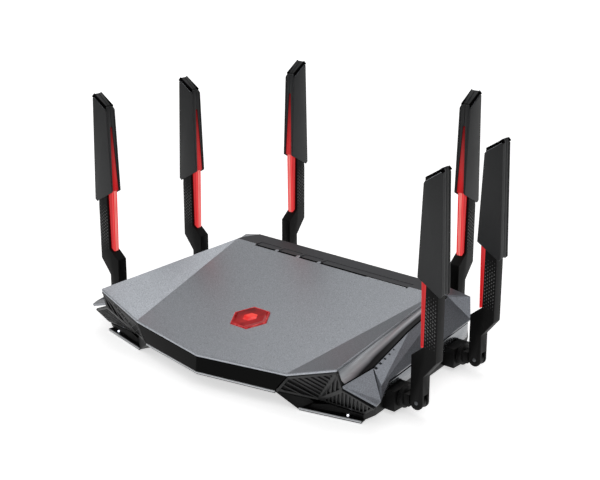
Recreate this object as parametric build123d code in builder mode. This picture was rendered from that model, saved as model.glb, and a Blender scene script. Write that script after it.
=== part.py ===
from build123d import *
import os
from math import cos, radians, sin, tan

# A desktop wireless router: a low faceted case with a sloping metal-finish top plate, raised front
# corners, sharp side wings, and six folding blade antennas, two on each side and two at the back.
# Frame of the written parts: origin on the surface it stands on, under the middle of the whole
# object's plan box, +Z up, front towards -Y, +X to the right seen from the front. The case and its
# antennas are symmetric about the YZ plane, and only the ports, buttons and slots aren't. Millimetres.

os.makedirs("parts", exist_ok=True)

# ---------------------------------------------------------------- driving dimensions
TOP_PITCH = tan(radians(9.4))  # the top plate rises towards the back
CREASE_Y, CREASE_Z = -87.5, 27.5  # front end of the crease that bounds the middle of the plate

NOSE = (0.0, -99.5)  # plan points of the plate's outline, right half
CREASE = (71.5, CREASE_Y, CREASE_Z)
HORN = (111.5, -85.0, 41.5)  # raised front corner
SHOULDER = (96.0, 48.0, 49.9)  # rear corner of the plate
GROOVE_FOOT = (113.2, -80.3, 28.4)  # lower front end of the groove strip
RIDGE = [(115.0, -50.0, 31.0), (109.0, -2.5, 40.0), (101.7, 56.0, 46.5)]  # wing's upper edge
WING_TIP = (136.0, -73.3, 19.5)
WING_NICK = (136.0, -69.0, 21.0)
EAVE = [(129.3, -60.0, 26.5), (111.0, 72.5, 26.5)]  # wing's lower edge, front and back
SKIRT_FOOT = [(125.0, -60.0, 12.6), (110.5, 72.5, 12.6)]
LOUVRE_FOOT = (88.2, -74.2, 8.6)  # lower end of the ridge between the two corner louvres
LIP_CENTRE = (0.0, -100.4, 12.2)
LIP_END = (61.4, -88.6, 12.2)
CORNER_IN = (76.4, -81.4, 1.1)  # inner and outer end of the low lip at each front corner
CORNER_OUT = (121.8, -70.6, 1.1)
REAR_EDGE = (92.5, 69.5, 48.5)
REAR_CORNER = (110.0, 72.5, 44.0)
REAR_Y = 81.0  # outer face of the rear port panel

TRAY_TOP = 12.2
TRAY_FLOOR = 1.2
WALL = 2.0
SKIN = 2.0  # thickness of the outer panels
SEAM = 0.25  # gap between neighbouring panels
BOARD_Z = 12.4  # underside of the circuit board
BOARD = 1.6
BOARD_TOP = BOARD_Z + BOARD

# Antennas: u points outwards from the hinge pin, h upwards, v across the blade.
BLADE = 9.5
NECK = 8.5
PIN_R = 1.5
KNUCKLE_R = 4.9
TONGUE = 3.6
TONGUE_R = 4.4
FORK_SLOT = 4.2
PIN_GAP = 0.08
SWIVEL_R = 7.4
SHAFT_R = 4.0
SHAFT_GAP = 0.1
CAP_INNER_TOP, CAP_OUTER_TOP = (1.0, 154.7), (15.0, 163.7)
CAP_INNER_FOOT, CAP_OUTER_FOOT = (-1.7, 88.1), (17.7, 77.5)
NECK_OUTER = 14.4
NECK_CHAMFER = 31.9
LEDGE = (-4.9, 33.4)
PIPE_TOP = 137.0
PIN_SET = {  # name: plan place of the hinge pin, its height and the antenna's outward heading
    "right_front": (144.4, -38.0, 11.8, 0),
    "right_rear": (135.4, 45.0, 11.8, 0),
    "back_right": (82.8, 96.0, 23.5, 90),
    "back_left": (-82.8, 96.0, 23.5, 90),
    "left_rear": (-135.4, 45.0, 11.8, 180),
    "left_front": (-144.4, -38.0, 11.8, 180),
}
BADGE_PLACE = (0.0, -44.0)
BADGE_R = 15.0
BRACKET_FACE = 13.4  # from the pin back to the face that the swivel turns on
SHAFT_LENGTH = 9.0
# Places below are measured from a line 6.65 mm in front of the whole object's middle.
MIDDLE_Y = (LIP_CENTRE[1] + PIN_SET["back_right"][1] + CAP_OUTER_FOOT[0]) / 2


def deck(y):
    """Height of the plate's middle facet."""
    return CREASE_Z + (y - CREASE_Y) * TOP_PITCH


def on_side(point, side):
    """A right-hand point, mirrored for side -1."""
    return Vector(point[0] * side, point[1], point[2])


def slab(outline, shift):
    """An outline and the same outline moved by the skin's thickness, as points of one thin block."""
    return [Vector(*p) for p in outline] + [Vector(*p) + Vector(*shift) for p in outline]


def lerp(a, b, t):
    """A point part of the way from a to b."""
    return tuple(p + (q - p) * t for p, q in zip(a, b))


def write(piece, name):
    """Labels a finished piece and writes its STEP file."""
    piece.part = piece.part.moved(Location((0, -MIDDLE_Y, 0)))
    piece.part.label = name
    export_step(piece.part, f"parts/{name}.step")


# ---------------------------------------------------------------- bottom tray
# Plan outlines, right half, at the tray's rim and at its floor. Under the middle of the front the
# floor slopes up to the rim, and only the two front corners come down to the low lips.
TRAY_BLOCKS = [  # rim outline and floor outline of the nose and of the rest
    ([(0, -99.6), (61, -88.2), (84, -66)], [(0, -56), (66, -56)]),
    ([(84, -66), (124, -58), (109.5, 72.5), (104, 80.5)], [(66, -56), (122, -56), (108, 71), (102, 78)]),
]
CAVITY_BLOCKS = [
    ([(0, -93), (57, -82), (81, -60)], [(0, -53.5), (64, -53.5)]),
    (
        [(81, -62), (122, -55), (107.5, 70.5), (102, 78.5)],
        [(64, -53.5), (120, -53.5), (106, 69), (100, 76)],
    ),
]
CORNER_BLOCKS = [
    [(61, -88.2, 12.2), (84, -66, 12.2), (86.5, -73.4, 7.4), CORNER_IN, (66, -56, 1.2), (86.5, -56, 1.2)],
    [
        (86.5, -73.4, 7.4), (121.5, -68.5, 6.0), (79.5, -76.6, 1.2), (120.5, -67, 1.2), (84, -64, 11.8),
        (86, -56, 1.2), (122, -56, 1.2), (84, -56, 12.2), (124, -58, 12.2),
    ],
]
CORNER_CAVITY = [
    (69, -80, 10.5), (87, -71, 9.4), (119, -66.3, 8.4), (81, -75, 3.2), (118.5, -64.6, 3.2),
    (66, -53.5, 3.2), (120, -53.5, 3.2), (82, -53.5, 13.2), (122, -55, 13.2), (64, -76, 13.2),
]
CORNER_LIP = [CORNER_IN, CORNER_OUT, (121.0, -66.0, 1.1), (79.0, -75.0, 1.1)]
LIP_THICK = 1.2


def ring(plan, z):
    """Both halves of a plan outline at one height."""
    return [(x * side, y, z) for x, y in plan for side in (1, -1)]


SCREW_PLACES = [(62, -48), (-62, -48), (84, 58), (-84, 58)]
FOOT_PLACES = [(90, -56), (-90, -56), (86, 36), (-86, 36)]
BOARD_POSTS = [(76, -34), (-76, -34), (68, 46), (-68, 46)]
side_pins = {n: p for n, p in PIN_SET.items() if p[3] != 90}
back_pins = {n: p for n, p in PIN_SET.items() if p[3] == 90}

with BuildPart() as bottom_tray:
    for high, low in TRAY_BLOCKS:
        ConvexPolyhedron(ring(high, TRAY_TOP) + ring(low, TRAY_FLOOR))
    for side in (1, -1):
        for block in CORNER_BLOCKS:
            ConvexPolyhedron([on_side(p, side) for p in block])
        ConvexPolyhedron(slab([on_side(p, side) for p in CORNER_LIP], (0, 0, LIP_THICK)))
    for high, low in CAVITY_BLOCKS:
        ConvexPolyhedron(ring(high, TRAY_TOP + 1) + ring(low, TRAY_FLOOR + WALL), mode=Mode.SUBTRACT)
    for side in (1, -1):
        ConvexPolyhedron([on_side(p, side) for p in CORNER_CAVITY], mode=Mode.SUBTRACT)
    for x, y, z, heading in side_pins.values():
        # bracket that carries the swivel, standing out of the side wall
        out = 1 if x > 0 else -1
        face = x - out * BRACKET_FACE
        with Locations(((face + x - out * (BRACKET_FACE + 13)) / 2, y, 10.6)):
            Box(13, 19, 14.4)
        with Locations(Location(Plane.YZ.offset(face).location.position + Vector(0, y, z), (0, 90, 0))):
            Cylinder(SHAFT_R + SHAFT_GAP, 40, mode=Mode.SUBTRACT)
        with Locations((face - out * 14, y, z + 4)):
            Box(10.4, 13.0, 24, mode=Mode.SUBTRACT)
    with BuildSketch(Plane.XY.offset(TRAY_FLOOR + WALL)) as posts:
        with Locations(BOARD_POSTS):
            Circle(3.2)
    extrude(amount=BOARD_Z - TRAY_FLOOR - WALL)
    with BuildSketch(Plane.XY.offset(TRAY_FLOOR)) as screw_bosses:
        with Locations(SCREW_PLACES):
            Circle(4.2)
    extrude(amount=TRAY_TOP - TRAY_FLOOR)
    with Locations([(x, y, TRAY_FLOOR) for x, y in SCREW_PLACES]):
        Cylinder(1.7, 40, mode=Mode.SUBTRACT)
        Cylinder(3.1, 6, mode=Mode.SUBTRACT)
    with Locations([(x, y, TRAY_FLOOR) for x, y in FOOT_PLACES]):
        Cylinder(8.1, 1.6, mode=Mode.SUBTRACT)
    with BuildSketch(Plane.XY.offset(TRAY_FLOOR)) as floor_vents:
        with GridLocations(9, 34, 11, 2):
            SlotOverall(28, 2.6, rotation=90)
    extrude(amount=WALL * 2, both=True, mode=Mode.SUBTRACT)
write(bottom_tray, "bottom_tray")

with BuildPart() as rubber_feet:
    with BuildSketch():
        with Locations(FOOT_PLACES):
            Circle(8.0)
    extrude(amount=TRAY_FLOOR + 0.8)
    fillet(rubber_feet.edges().group_by(Axis.Z)[0], 0.8)
write(rubber_feet, "rubber_feet")

with BuildPart() as case_screws:
    with BuildSketch(Plane.XY.offset(TRAY_FLOOR + 1.2)):
        with Locations(SCREW_PLACES):
            Circle(2.8)
    extrude(amount=1.8)
    with BuildSketch(Plane.XY.offset(TRAY_FLOOR + 3.0)):
        with Locations(SCREW_PLACES):
            Circle(1.45)
    extrude(amount=13)
    with BuildSketch(Plane.XY.offset(TRAY_FLOOR + 1.2)):
        with Locations(SCREW_PLACES):
            Rectangle(3.2, 0.7)
            Rectangle(0.7, 3.2)
    extrude(amount=0.9, mode=Mode.SUBTRACT)
write(case_screws, "case_screws")

# ---------------------------------------------------------------- inner top case
CASE_DROP = SKIN + 0.3


def centre_block(drop, bottom, front, back):
    """Points of the case's middle block, its top lowered by drop under the plate."""
    points = []
    for side in (1, -1):
        points += [
            (side * 70.5, CREASE_Y + front, deck(CREASE_Y + front) - drop),
            (side * 94.0, 48, deck(48) - drop),
            (side * 89.0, back, REAR_EDGE[2] - drop - (back - 66) * 0.15),
            (side * 62.0, -87 + front, bottom),
            (side * 98.0, 48, bottom),
            (side * 96.0, back + 6, bottom),
            (side * 93.0, back + 6, REAR_EDGE[2] - drop - 12),
        ]
    points += [(0, NOSE[1] + front, deck(NOSE[1] + front) - drop), (0, NOSE[1] + front, bottom)]
    return points


def corner_block(side, drop, bottom, front, edge):
    """Points of the block under one raised front corner, between the crease and the groove strip."""
    points = [
        (70.5, CREASE_Y + front, deck(CREASE_Y + front) - drop),
        (HORN[0] - edge, HORN[1] + front + 1.0, HORN[2] - drop - 0.8),
        (SHOULDER[0] - edge, 48, SHOULDER[2] - drop - 0.8),
        (GROOVE_FOOT[0] - edge - 1.5, GROOVE_FOOT[1] + front, GROOVE_FOOT[2]),
        (RIDGE[0][0] - edge - 3, -50, RIDGE[0][2] - 3),
        (98.5 - edge, 48, 44),
        (74, -76 + front, bottom),
        (112 - edge, -66 + front, bottom),
        (100 - edge, 48, bottom),
        (70, 48, bottom),
    ]
    return [on_side(p, side) for p in points]


with BuildPart() as top_case:
    ConvexPolyhedron(centre_block(CASE_DROP, TRAY_TOP + 0.4, 2.6, 70))
    for side in (1, -1):
        ConvexPolyhedron(corner_block(side, CASE_DROP + 0.9, TRAY_TOP + 0.4, 3.2, 2.8))
    ConvexPolyhedron(centre_block(CASE_DROP + WALL, TRAY_TOP - 1, 2.6 + WALL, 80), mode=Mode.SUBTRACT)
    for side in (1, -1):
        ConvexPolyhedron(
            corner_block(side, CASE_DROP + 0.9 + WALL, TRAY_TOP - 1, 3.2 + WALL, 2.8 + WALL), mode=Mode.SUBTRACT
        )
    for place in SCREW_PLACES:
        # screw posts, from the tray's bosses up to the ceiling
        ceiling = min(deck(place[1]), 48.0) - CASE_DROP - 1.0
        with BuildSketch(Plane.XY.offset(TRAY_TOP + 0.4)):
            with Locations(place):
                Circle(4.0)
                Circle(1.5, mode=Mode.SUBTRACT)
        extrude(amount=ceiling - TRAY_TOP - 0.4)
    with BuildSketch(Plane.XY.offset(60)) as badge_hole:
        with Locations(BADGE_PLACE):
            RegularPolygon(BADGE_R - 2.5, 6)
    extrude(amount=-50, mode=Mode.SUBTRACT)
write(top_case, "top_case")

# ---------------------------------------------------------------- outer panels
DECK_SLOTS = [(-65.4, 21), (-42.6, 19), (-21.3, 18), (31.7, 82)]  # middle and length along X
SLOT_WIDTH = 6.0  # how far each slot reaches back into the deck
NOTCH = 3.0  # and forward into the plate
PLATE_MIDDLE = [NOSE + (deck(NOSE[1]),), CREASE, SHOULDER]
with BuildPart() as top_plate:
    middle = PLATE_MIDDLE + [tuple(on_side(p, -1)) for p in PLATE_MIDDLE[1:]]
    ConvexPolyhedron(slab(middle, (0, 0, -SKIN)))
    for side in (1, -1):
        ConvexPolyhedron(slab([on_side(p, side) for p in (CREASE, HORN, SHOULDER)], (0, 0, -SKIN)))
    with BuildSketch(Plane.XY.offset(60)):
        with Locations(BADGE_PLACE):
            RegularPolygon(BADGE_R + 0.2, 6)
        for x, length in DECK_SLOTS:
            # notch that the slot behind the plate opens into
            with Locations((x, SHOULDER[1] - NOTCH / 2 + 0.2)):
                Rectangle(length, NOTCH + 0.4)
    extrude(amount=-50, mode=Mode.SUBTRACT)
write(top_plate, "top_plate")

with BuildPart() as badge_lens:
    with BuildSketch(Plane.XY.offset(60)):
        with Locations(BADGE_PLACE):
            RegularPolygon(BADGE_R, 6)
    extrude(amount=-50)
    tilt = Plane((0, CREASE_Y, CREASE_Z), x_dir=(1, 0, 0), z_dir=(0, -TOP_PITCH, 1))
    split(bisect_by=tilt.offset(0.9), keep=Keep.BOTTOM)
    split(bisect_by=tilt.offset(-1.6), keep=Keep.TOP)
    chamfer(badge_lens.faces().filter_by(tilt).sort_by(Axis.Z)[-1].edges(), 0.7)
write(badge_lens, "badge_lens")

with BuildPart() as badge_light_guide:
    with BuildSketch(Plane.XY.offset(60)):
        with Locations(BADGE_PLACE):
            RegularPolygon(BADGE_R - 3.0, 6)
    extrude(amount=-50)
    split(bisect_by=tilt.offset(-1.8), keep=Keep.BOTTOM)
    split(bisect_by=Plane.XY.offset(BOARD_TOP + 1.4), keep=Keep.TOP)
write(badge_light_guide, "badge_light_guide")

DECK_FRONT = 48.3
DECK_SLOPE_FOOT = (89.5, 80.8, 41.5)
with BuildPart() as rear_deck:
    ledge = [(95.7, DECK_FRONT, 49.8), REAR_EDGE]
    slope = [REAR_EDGE, DECK_SLOPE_FOOT]
    for facet in (ledge, slope):
        outline = facet + [tuple(on_side(p, -1)) for p in reversed(facet)]
        ConvexPolyhedron(slab(outline, (0, 0, -SKIN)))
    with BuildSketch(Plane.XY.offset(60)):
        for x, length in DECK_SLOTS:
            with Locations((x, DECK_FRONT + SLOT_WIDTH / 2 - 0.2)):
                Rectangle(length, SLOT_WIDTH + 0.4)
    extrude(amount=-11.2, mode=Mode.SUBTRACT)
write(rear_deck, "rear_deck")

WING_SHIFT = (-0.9, 0.3, -1.7)
GROOVE_TOP = [lerp(HORN, SHOULDER, t) for t in (0.02, 0.27, 0.6, 1.0)]
GROOVE_BASE = [(GROOVE_FOOT[0], GROOVE_FOOT[1] + 2.8, GROOVE_FOOT[2])] + RIDGE
GROOVE_DROP = SKIN + SEAM + 0.7  # the strip starts below the plate's edge
for side, name in ((1, "right"), (-1, "left")):
    with BuildPart() as side_wing:
        facets = [
            [GROOVE_FOOT, RIDGE[0], WING_NICK, WING_TIP],
            [RIDGE[0], RIDGE[1], EAVE[0], WING_NICK],
            [RIDGE[1], RIDGE[2], EAVE[1], EAVE[0]],
            [RIDGE[2], REAR_CORNER, EAVE[1]],
            [RIDGE[2], (98.6, 54.6, 48.3), (94.0, 69.3, 48.0), REAR_CORNER],
        ]
        for facet in facets:
            shift = (WING_SHIFT[0] * side, WING_SHIFT[1], WING_SHIFT[2])
            ConvexPolyhedron(slab([on_side(p, side) for p in facet], shift))
    write(side_wing, f"{name}_wing")

    with BuildPart() as groove_strip:
        for i in range(3):
            top, base = GROOVE_TOP[i : i + 2], GROOVE_BASE[i : i + 2]
            quad = [(x - 0.2, y, z - GROOVE_DROP) for x, y, z in top]
            quad += [(x - 0.5, y, z + 0.8) for x, y, z in reversed(base)]
            ConvexPolyhedron(slab([on_side(p, side) for p in quad], (-1.6 * side, 0, 0)))
    write(groove_strip, f"{name}_groove_strip")

    with BuildPart() as side_skirt:
        top_z = EAVE[0][2] - SKIN - SEAM
        quad = [
            (EAVE[0][0] - 1.3, -62.0, top_z - 1.6),
            (EAVE[1][0] - 0.6, 70.5, top_z),
            (SKIRT_FOOT[1][0] - 0.4, 70.5, TRAY_TOP + 0.4),
            (SKIRT_FOOT[0][0], -62.0, TRAY_TOP + 0.4),
        ]
        ConvexPolyhedron(slab([on_side(p, side) for p in quad], (-SKIN * side, 0, 0)))
        for x, y, z, heading in side_pins.values():
            # relief around the antenna bracket
            with Locations((x - BRACKET_FACE * side, y, 10.6)):
                Box(40, 19.6, 15.2, mode=Mode.SUBTRACT)
    write(side_skirt, f"{name}_side_skirt")

    with BuildPart() as corner_grille:
        inner = [
            (CREASE[0] + 0.2, CREASE[1] + 0.3, CREASE[2] - SKIN - SEAM),
            (HORN[0] - 0.2, HORN[1] + 0.3, HORN[2] - SKIN - SEAM),
            LOUVRE_FOOT,
            (LIP_END[0] + 1.2, LIP_END[1] + 0.3, TRAY_TOP + 0.4),
        ]
        under_groove = (GROOVE_FOOT[0] - 0.2, GROOVE_FOOT[1], GROOVE_FOOT[2] - 3.3)
        outer_high = [inner[1], under_groove, LOUVRE_FOOT]
        outer_low = [
            under_groove,
            (WING_TIP[0] - 2.6, WING_TIP[1] + 0.3, WING_TIP[2] - 4.0),
            (CORNER_OUT[0] + 1.5, CORNER_OUT[1] + 1.0, 7.2),
            LOUVRE_FOOT,
        ]
        for facet in (inner, outer_high, outer_low):
            ConvexPolyhedron(slab([on_side(p, side) for p in facet], (0, SKIN, 0)))
        for i in range(9):
            with Locations(Location((side * (74.5 + 3.0 * i), -84, 24.5 - 0.2 * i), (0, side * 24, 0))):
                Box(1.3, 30, 13 + 0.2 * i, mode=Mode.SUBTRACT)
        for i in range(8):
            with Locations(Location((side * (103.0 + 3.1 * i), -76, 19.5 - 1.1 * i), (0, side * 24, 0))):
                Box(1.7, 34, 13 - 0.5 * i, mode=Mode.SUBTRACT)
    write(corner_grille, f"{name}_corner_grille")

with BuildPart() as front_apron:
    for side in (1, -1):
        quad = [
            (0, NOSE[1] + 0.1, deck(NOSE[1]) - SKIN - SEAM),
            (CREASE[0], CREASE[1] + 0.1, CREASE[2] - SKIN - SEAM),
            (LIP_END[0], LIP_END[1], TRAY_TOP + 0.4),
            (0, LIP_CENTRE[1], TRAY_TOP + 0.4),
        ]
        ConvexPolyhedron(slab([on_side(p, side) for p in quad], (0, SKIN, 0)))
write(front_apron, "front_apron")

# ---------------------------------------------------------------- rear ports
PORT_FLOOR = BOARD_TOP + 0.1
JACK = (15.8, 17.0, 13.2)
JACK_MOUTH = (11.8, 8.2)
LAN_X = [-36.0, -19.6, -3.2, 13.2]
WAN_X = 33.0
USB_X, USB = 52.0, (14.6, 15.0, 7.4)
USB_MOUTH = (12.6, 5.4)
DC_X, DC_R = -67.0, 4.6
POWER_X, RESET_X, PAIR_X, LIGHT_X = -54.0, 66.0, 0.0, 20.0
BUTTON_Z, UPPER_Z = 21.0, 34.0
POWER_SIZE, SMALL_SIZE = (9.0, 9.0), (11.0, 5.0)
BUTTON_GAP = 0.3
PANEL_FRONT = REAR_Y - SKIN
BUTTONS = {  # plan place along X, height, size, how far the cap stands out, travel
    "power_button": (POWER_X, BUTTON_Z, POWER_SIZE, 2.6, 2.0),
    "pairing_button": (PAIR_X, UPPER_Z, SMALL_SIZE, 1.2, 0.8),
    "light_button": (LIGHT_X, UPPER_Z, SMALL_SIZE, 1.2, 0.8),
    "reset_button": (RESET_X, BUTTON_Z, (1.6, 1.6), -0.9, 0.5),
}
jack_z = PORT_FLOOR + JACK[2] / 2

with BuildPart() as rear_port_panel:
    with Locations((0, REAR_Y - SKIN / 2, (TRAY_TOP + 0.4 + 39.0) / 2)):
        Box(180, SKIN, 39.0 - TRAY_TOP - 0.4)
    for side in (1, -1):
        end_wall = [(89.8, REAR_Y, 12.6), (108.8, 73.0, 12.6), (108.0, 73.0, 41.0), (89.8, REAR_Y, 39.0)]
        ConvexPolyhedron(slab([on_side(p, side) for p in end_wall], (0, -SKIN, 0)))
    with Locations([(x, REAR_Y, jack_z) for x in LAN_X + [WAN_X]]):
        Box(JACK[0] + 0.4, 10, JACK[2] + 0.4, mode=Mode.SUBTRACT)
    with Locations((USB_X, REAR_Y, PORT_FLOOR + USB[2] / 2)):
        Box(USB[0] + 0.4, 10, USB[2] + 0.4, mode=Mode.SUBTRACT)
    with Locations(Location((DC_X, REAR_Y, PORT_FLOOR + 5.6), (90, 0, 0))):
        Cylinder(DC_R + 0.8, 10, mode=Mode.SUBTRACT)
    for name, (x, z, size, proud, travel) in BUTTONS.items():
        with Locations((x, REAR_Y, z)):
            if name == "reset_button":
                Box(2.2, 10, 2.2, mode=Mode.SUBTRACT)
            else:
                Box(size[0] + 2 * BUTTON_GAP, 10, size[1] + 2 * BUTTON_GAP, mode=Mode.SUBTRACT)
    for x, y, z, heading in back_pins.values():
        with Locations((x, PANEL_FRONT - 3.5, z)):
            Box(19, 7, 18)
        with Locations(Location((x, REAR_Y, z), (90, 0, 0))):
            Cylinder(SHAFT_R + SHAFT_GAP, 60, mode=Mode.SUBTRACT)
        with Locations((x, PANEL_FRONT - 9, z)):
            Box(13, 14, 13, mode=Mode.SUBTRACT)
write(rear_port_panel, "rear_port_panel")

with BuildPart() as ethernet_jacks:
    for x in LAN_X + [WAN_X]:
        with Locations((x, REAR_Y - 0.3 - JACK[1] / 2, jack_z)):
            Box(*JACK)
        with Locations((x, REAR_Y - 0.3 - 6.5, jack_z - 0.6)):
            Box(JACK_MOUTH[0], 13.2, JACK_MOUTH[1], mode=Mode.SUBTRACT)
        with Locations((x, REAR_Y - 0.3 - 6.5, jack_z - 0.6 + JACK_MOUTH[1] / 2 + 1.0)):
            Box(5.6, 13.2, 2.4, mode=Mode.SUBTRACT)
write(ethernet_jacks, "ethernet_jacks")

with BuildPart() as usb_port:
    with Locations((USB_X, REAR_Y - 0.3 - USB[1] / 2, PORT_FLOOR + USB[2] / 2)):
        Box(*USB)
        with Locations((0, 1.0, 0)):
            Box(USB_MOUTH[0], USB[1], USB_MOUTH[1], mode=Mode.SUBTRACT)
    with Locations((USB_X, REAR_Y - 8.0, PORT_FLOOR + USB[2] / 2 + 1.1)):
        Box(USB_MOUTH[0], 13.0, 1.6)
write(usb_port, "usb_port")

with BuildPart() as power_inlet:
    with Locations((DC_X, PANEL_FRONT - 0.3 - 5.5, PORT_FLOOR + 5.0)):
        Box(9.0, 11.0, 10.0)
    with Locations(Location((DC_X, REAR_Y - 2.3, PORT_FLOOR + 5.6), (90, 0, 0))):
        Cylinder(DC_R, 4)
    with Locations(Location((DC_X, REAR_Y - 5.3, PORT_FLOOR + 5.6), (90, 0, 0))):
        Cylinder(3.2, 10, mode=Mode.SUBTRACT)
    with Locations(Location((DC_X, REAR_Y - 7.3, PORT_FLOOR + 5.6), (90, 0, 0))):
        Cylinder(1.0, 9)
write(power_inlet, "power_inlet")

for name, (x, z, size, proud, travel) in BUTTONS.items():
    with BuildPart() as button:
        with Locations((x, (REAR_Y + proud + PANEL_FRONT - 0.6) / 2, z)):
            Box(size[0], REAR_Y + proud - PANEL_FRONT + 0.6, size[1])
        if name == "reset_button":
            with Locations((x, PANEL_FRONT - 2.2, z)):
                Box(3.6, 3.2, 3.6)
        else:
            chamfer(button.faces().sort_by(Axis.Y)[-1].edges(), 0.5)
            with Locations((x, PANEL_FRONT - 1.6, z)):
                Box(size[0] + 3, 2.0, size[1] + 3)
            with Locations((x, PANEL_FRONT - 4.0, z)):
                Box(3.0, 3.0, 3.0)
    write(button, name)

# ---------------------------------------------------------------- electronics
with BuildPart() as circuit_board:
    with BuildSketch(Plane.XY.offset(BOARD_Z)):
        with Locations((0, -4)):
            RectangleRounded(170, 130, 4)
        for x, y in ((84, -66), (-84, -66)):
            with Locations((x, y)):
                Rectangle(40, 24, mode=Mode.SUBTRACT)
        with Locations(SCREW_PLACES):
            Circle(5.4, mode=Mode.SUBTRACT)
        with Locations((0, REAR_Y - 18.2)):
            Rectangle(136, 24, mode=Mode.ADD)
        with Locations(BOARD_POSTS):
            Circle(1.4, mode=Mode.SUBTRACT)
    extrude(amount=BOARD)
write(circuit_board, "circuit_board")

with BuildPart() as shield_cans:
    with BuildSketch(Plane.XY.offset(BOARD_TOP + 0.1)):
        with Locations([(-46, 10), (46, 10)]):
            RectangleRounded(30, 26, 1)
        with Locations([(-40, -32), (40, -32)]):
            RectangleRounded(24, 20, 1)
    extrude(amount=3.2)
write(shield_cans, "shield_cans")

with BuildPart() as heat_sink:
    with BuildSketch(Plane.XY.offset(BOARD_TOP + 0.1)):
        with Locations((0, 14)):
            Rectangle(44, 40)
    extrude(amount=2.5)
    with BuildSketch(Plane.XY.offset(BOARD_TOP + 2.6)):
        with Locations((0, 14)):
            with GridLocations(4.4, 0, 10, 1):
                Rectangle(1.4, 40)
    extrude(amount=10)
write(heat_sink, "heat_sink")

with BuildPart() as button_switches:
    for name, (x, z, size, proud, travel) in BUTTONS.items():
        stem = PANEL_FRONT - (3.8 if name == "reset_button" else 5.5)
        # the upper pair stand on the jacks' shells, the others on the board
        foot = (PORT_FLOOR + JACK[2] if z == UPPER_Z else BOARD_TOP) + 0.1
        with Locations((x, stem - travel - 0.2 - 2.0, (z + 3 + foot) / 2)):
            Box(6, 4, z + 3 - foot)
write(button_switches, "button_switches")

with BuildPart() as status_lights:
    for side in (1, -1):
        with Locations((side * 110.5, -71.0, CORNER_OUT[2] + LIP_THICK + 0.95)):
            Sphere(0.8)
write(status_lights, "status_lights")

# ---------------------------------------------------------------- antennas
CORE_TOP_INNER, CORE_TOP_OUTER = (3.4, 150.0), (12.4, 156.0)
for name, (x, y, z, heading) in PIN_SET.items():
    out = Vector(cos(radians(heading)), sin(radians(heading)), 0)
    # the blade's plane: u outwards, h upwards, centred across the blade
    blade_plane = Plane((x, y, z), x_dir=out, z_dir=out.cross(Vector(0, 0, 1)))

    with BuildPart() as core:
        with BuildSketch(blade_plane):
            Circle(KNUCKLE_R)
            with BuildLine():
                Polyline(
                    (-KNUCKLE_R, 0), LEDGE, (0.6, LEDGE[1] + 4.6), (4.4, LEDGE[1] + 7.6), (4.9, 84.0),
                    CORE_TOP_INNER, CORE_TOP_OUTER, (13.6, 84.0), (NECK_OUTER, 75.7),
                    (NECK_OUTER, NECK_CHAMFER), (KNUCKLE_R, 19.9), (KNUCKLE_R, 0), (-KNUCKLE_R, 0),
                )
            make_face()
        extrude(amount=NECK / 2, both=True)
        with BuildSketch(blade_plane):
            with Locations((-1, -0.8)):
                Rectangle(14, 13)
        extrude(amount=FORK_SLOT / 2, both=True, mode=Mode.SUBTRACT)
        with BuildSketch(blade_plane):
            Circle(PIN_R)
        extrude(amount=BLADE, both=True, mode=Mode.SUBTRACT)
    write(core, f"{name}_antenna_core")

    with BuildPart() as cap:
        with BuildSketch(blade_plane):
            with BuildLine():
                Polyline(CAP_INNER_FOOT, CAP_INNER_TOP, CAP_OUTER_TOP, CAP_OUTER_FOOT, CAP_INNER_FOOT)
            make_face()
        extrude(amount=BLADE / 2, both=True)
        with BuildSketch(blade_plane):
            with BuildLine():
                Polyline(
                    (4.7, 70), (4.7, 84), (3.2, 150.3), (12.6, 156.5), (13.8, 84), (14.6, 75.7),
                    (14.6, 70), (4.7, 70),
                )
            make_face()
        extrude(amount=NECK / 2 + 0.1, both=True, mode=Mode.SUBTRACT)
        with BuildSketch(blade_plane):
            with BuildLine():
                Polyline((-4, 70), (-4, PIPE_TOP + 0.3), (5.5, PIPE_TOP + 0.3), (5.5, 70), (-4, 70))
            make_face()
        extrude(amount=3.3, both=True, mode=Mode.SUBTRACT)
    write(cap, f"{name}_antenna_cap")

    with BuildPart() as light_pipe:
        with BuildSketch(blade_plane):
            with BuildLine():
                Polyline(
                    (0.8, LEDGE[1] + 5.2), (4.2, LEDGE[1] + 7.8), (4.6, 84), (3.2, PIPE_TOP),
                    (2.0, PIPE_TOP), (0.0, 84), (0.8, LEDGE[1] + 5.2),
                )
            make_face()
        extrude(amount=3.0, both=True)
    write(light_pipe, f"{name}_light_pipe")

    with BuildPart() as hinge_pin:
        with BuildSketch(blade_plane):
            Circle(PIN_R)
        extrude(amount=NECK / 2, both=True)
    write(hinge_pin, f"{name}_hinge_pin")

    with BuildPart() as swivel:
        turn = Plane((x, y, z), x_dir=(0, 0, 1), z_dir=out)
        with BuildSketch(turn.offset(-BRACKET_FACE + 0.3)):
            Circle(SWIVEL_R)
        extrude(amount=3.2)
        with BuildSketch(turn.offset(-BRACKET_FACE + 3.5)):
            Rectangle(8.6, 8.4)
        extrude(amount=BRACKET_FACE - 3.5 - KNUCKLE_R - 0.6)
        with BuildSketch(blade_plane):
            Circle(TONGUE_R)
            with Locations((-4, 0)):
                Rectangle(8, 2 * TONGUE_R - 0.8)
        extrude(amount=TONGUE / 2, both=True)
        with BuildSketch(turn.offset(-BRACKET_FACE + 0.3)):
            Circle(SHAFT_R)
        extrude(amount=-SHAFT_LENGTH - 0.3)
        with BuildSketch(turn.offset(-BRACKET_FACE - SHAFT_LENGTH)):
            Circle(SHAFT_R + 1.2)
        extrude(amount=-1.6)
        with BuildSketch(blade_plane):
            Circle(PIN_R + PIN_GAP)
        extrude(amount=BLADE, both=True, mode=Mode.SUBTRACT)
    write(swivel, f"{name}_swivel")
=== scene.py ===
"""The looks of a desktop wireless router with six folding blade antennas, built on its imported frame."""

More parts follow.
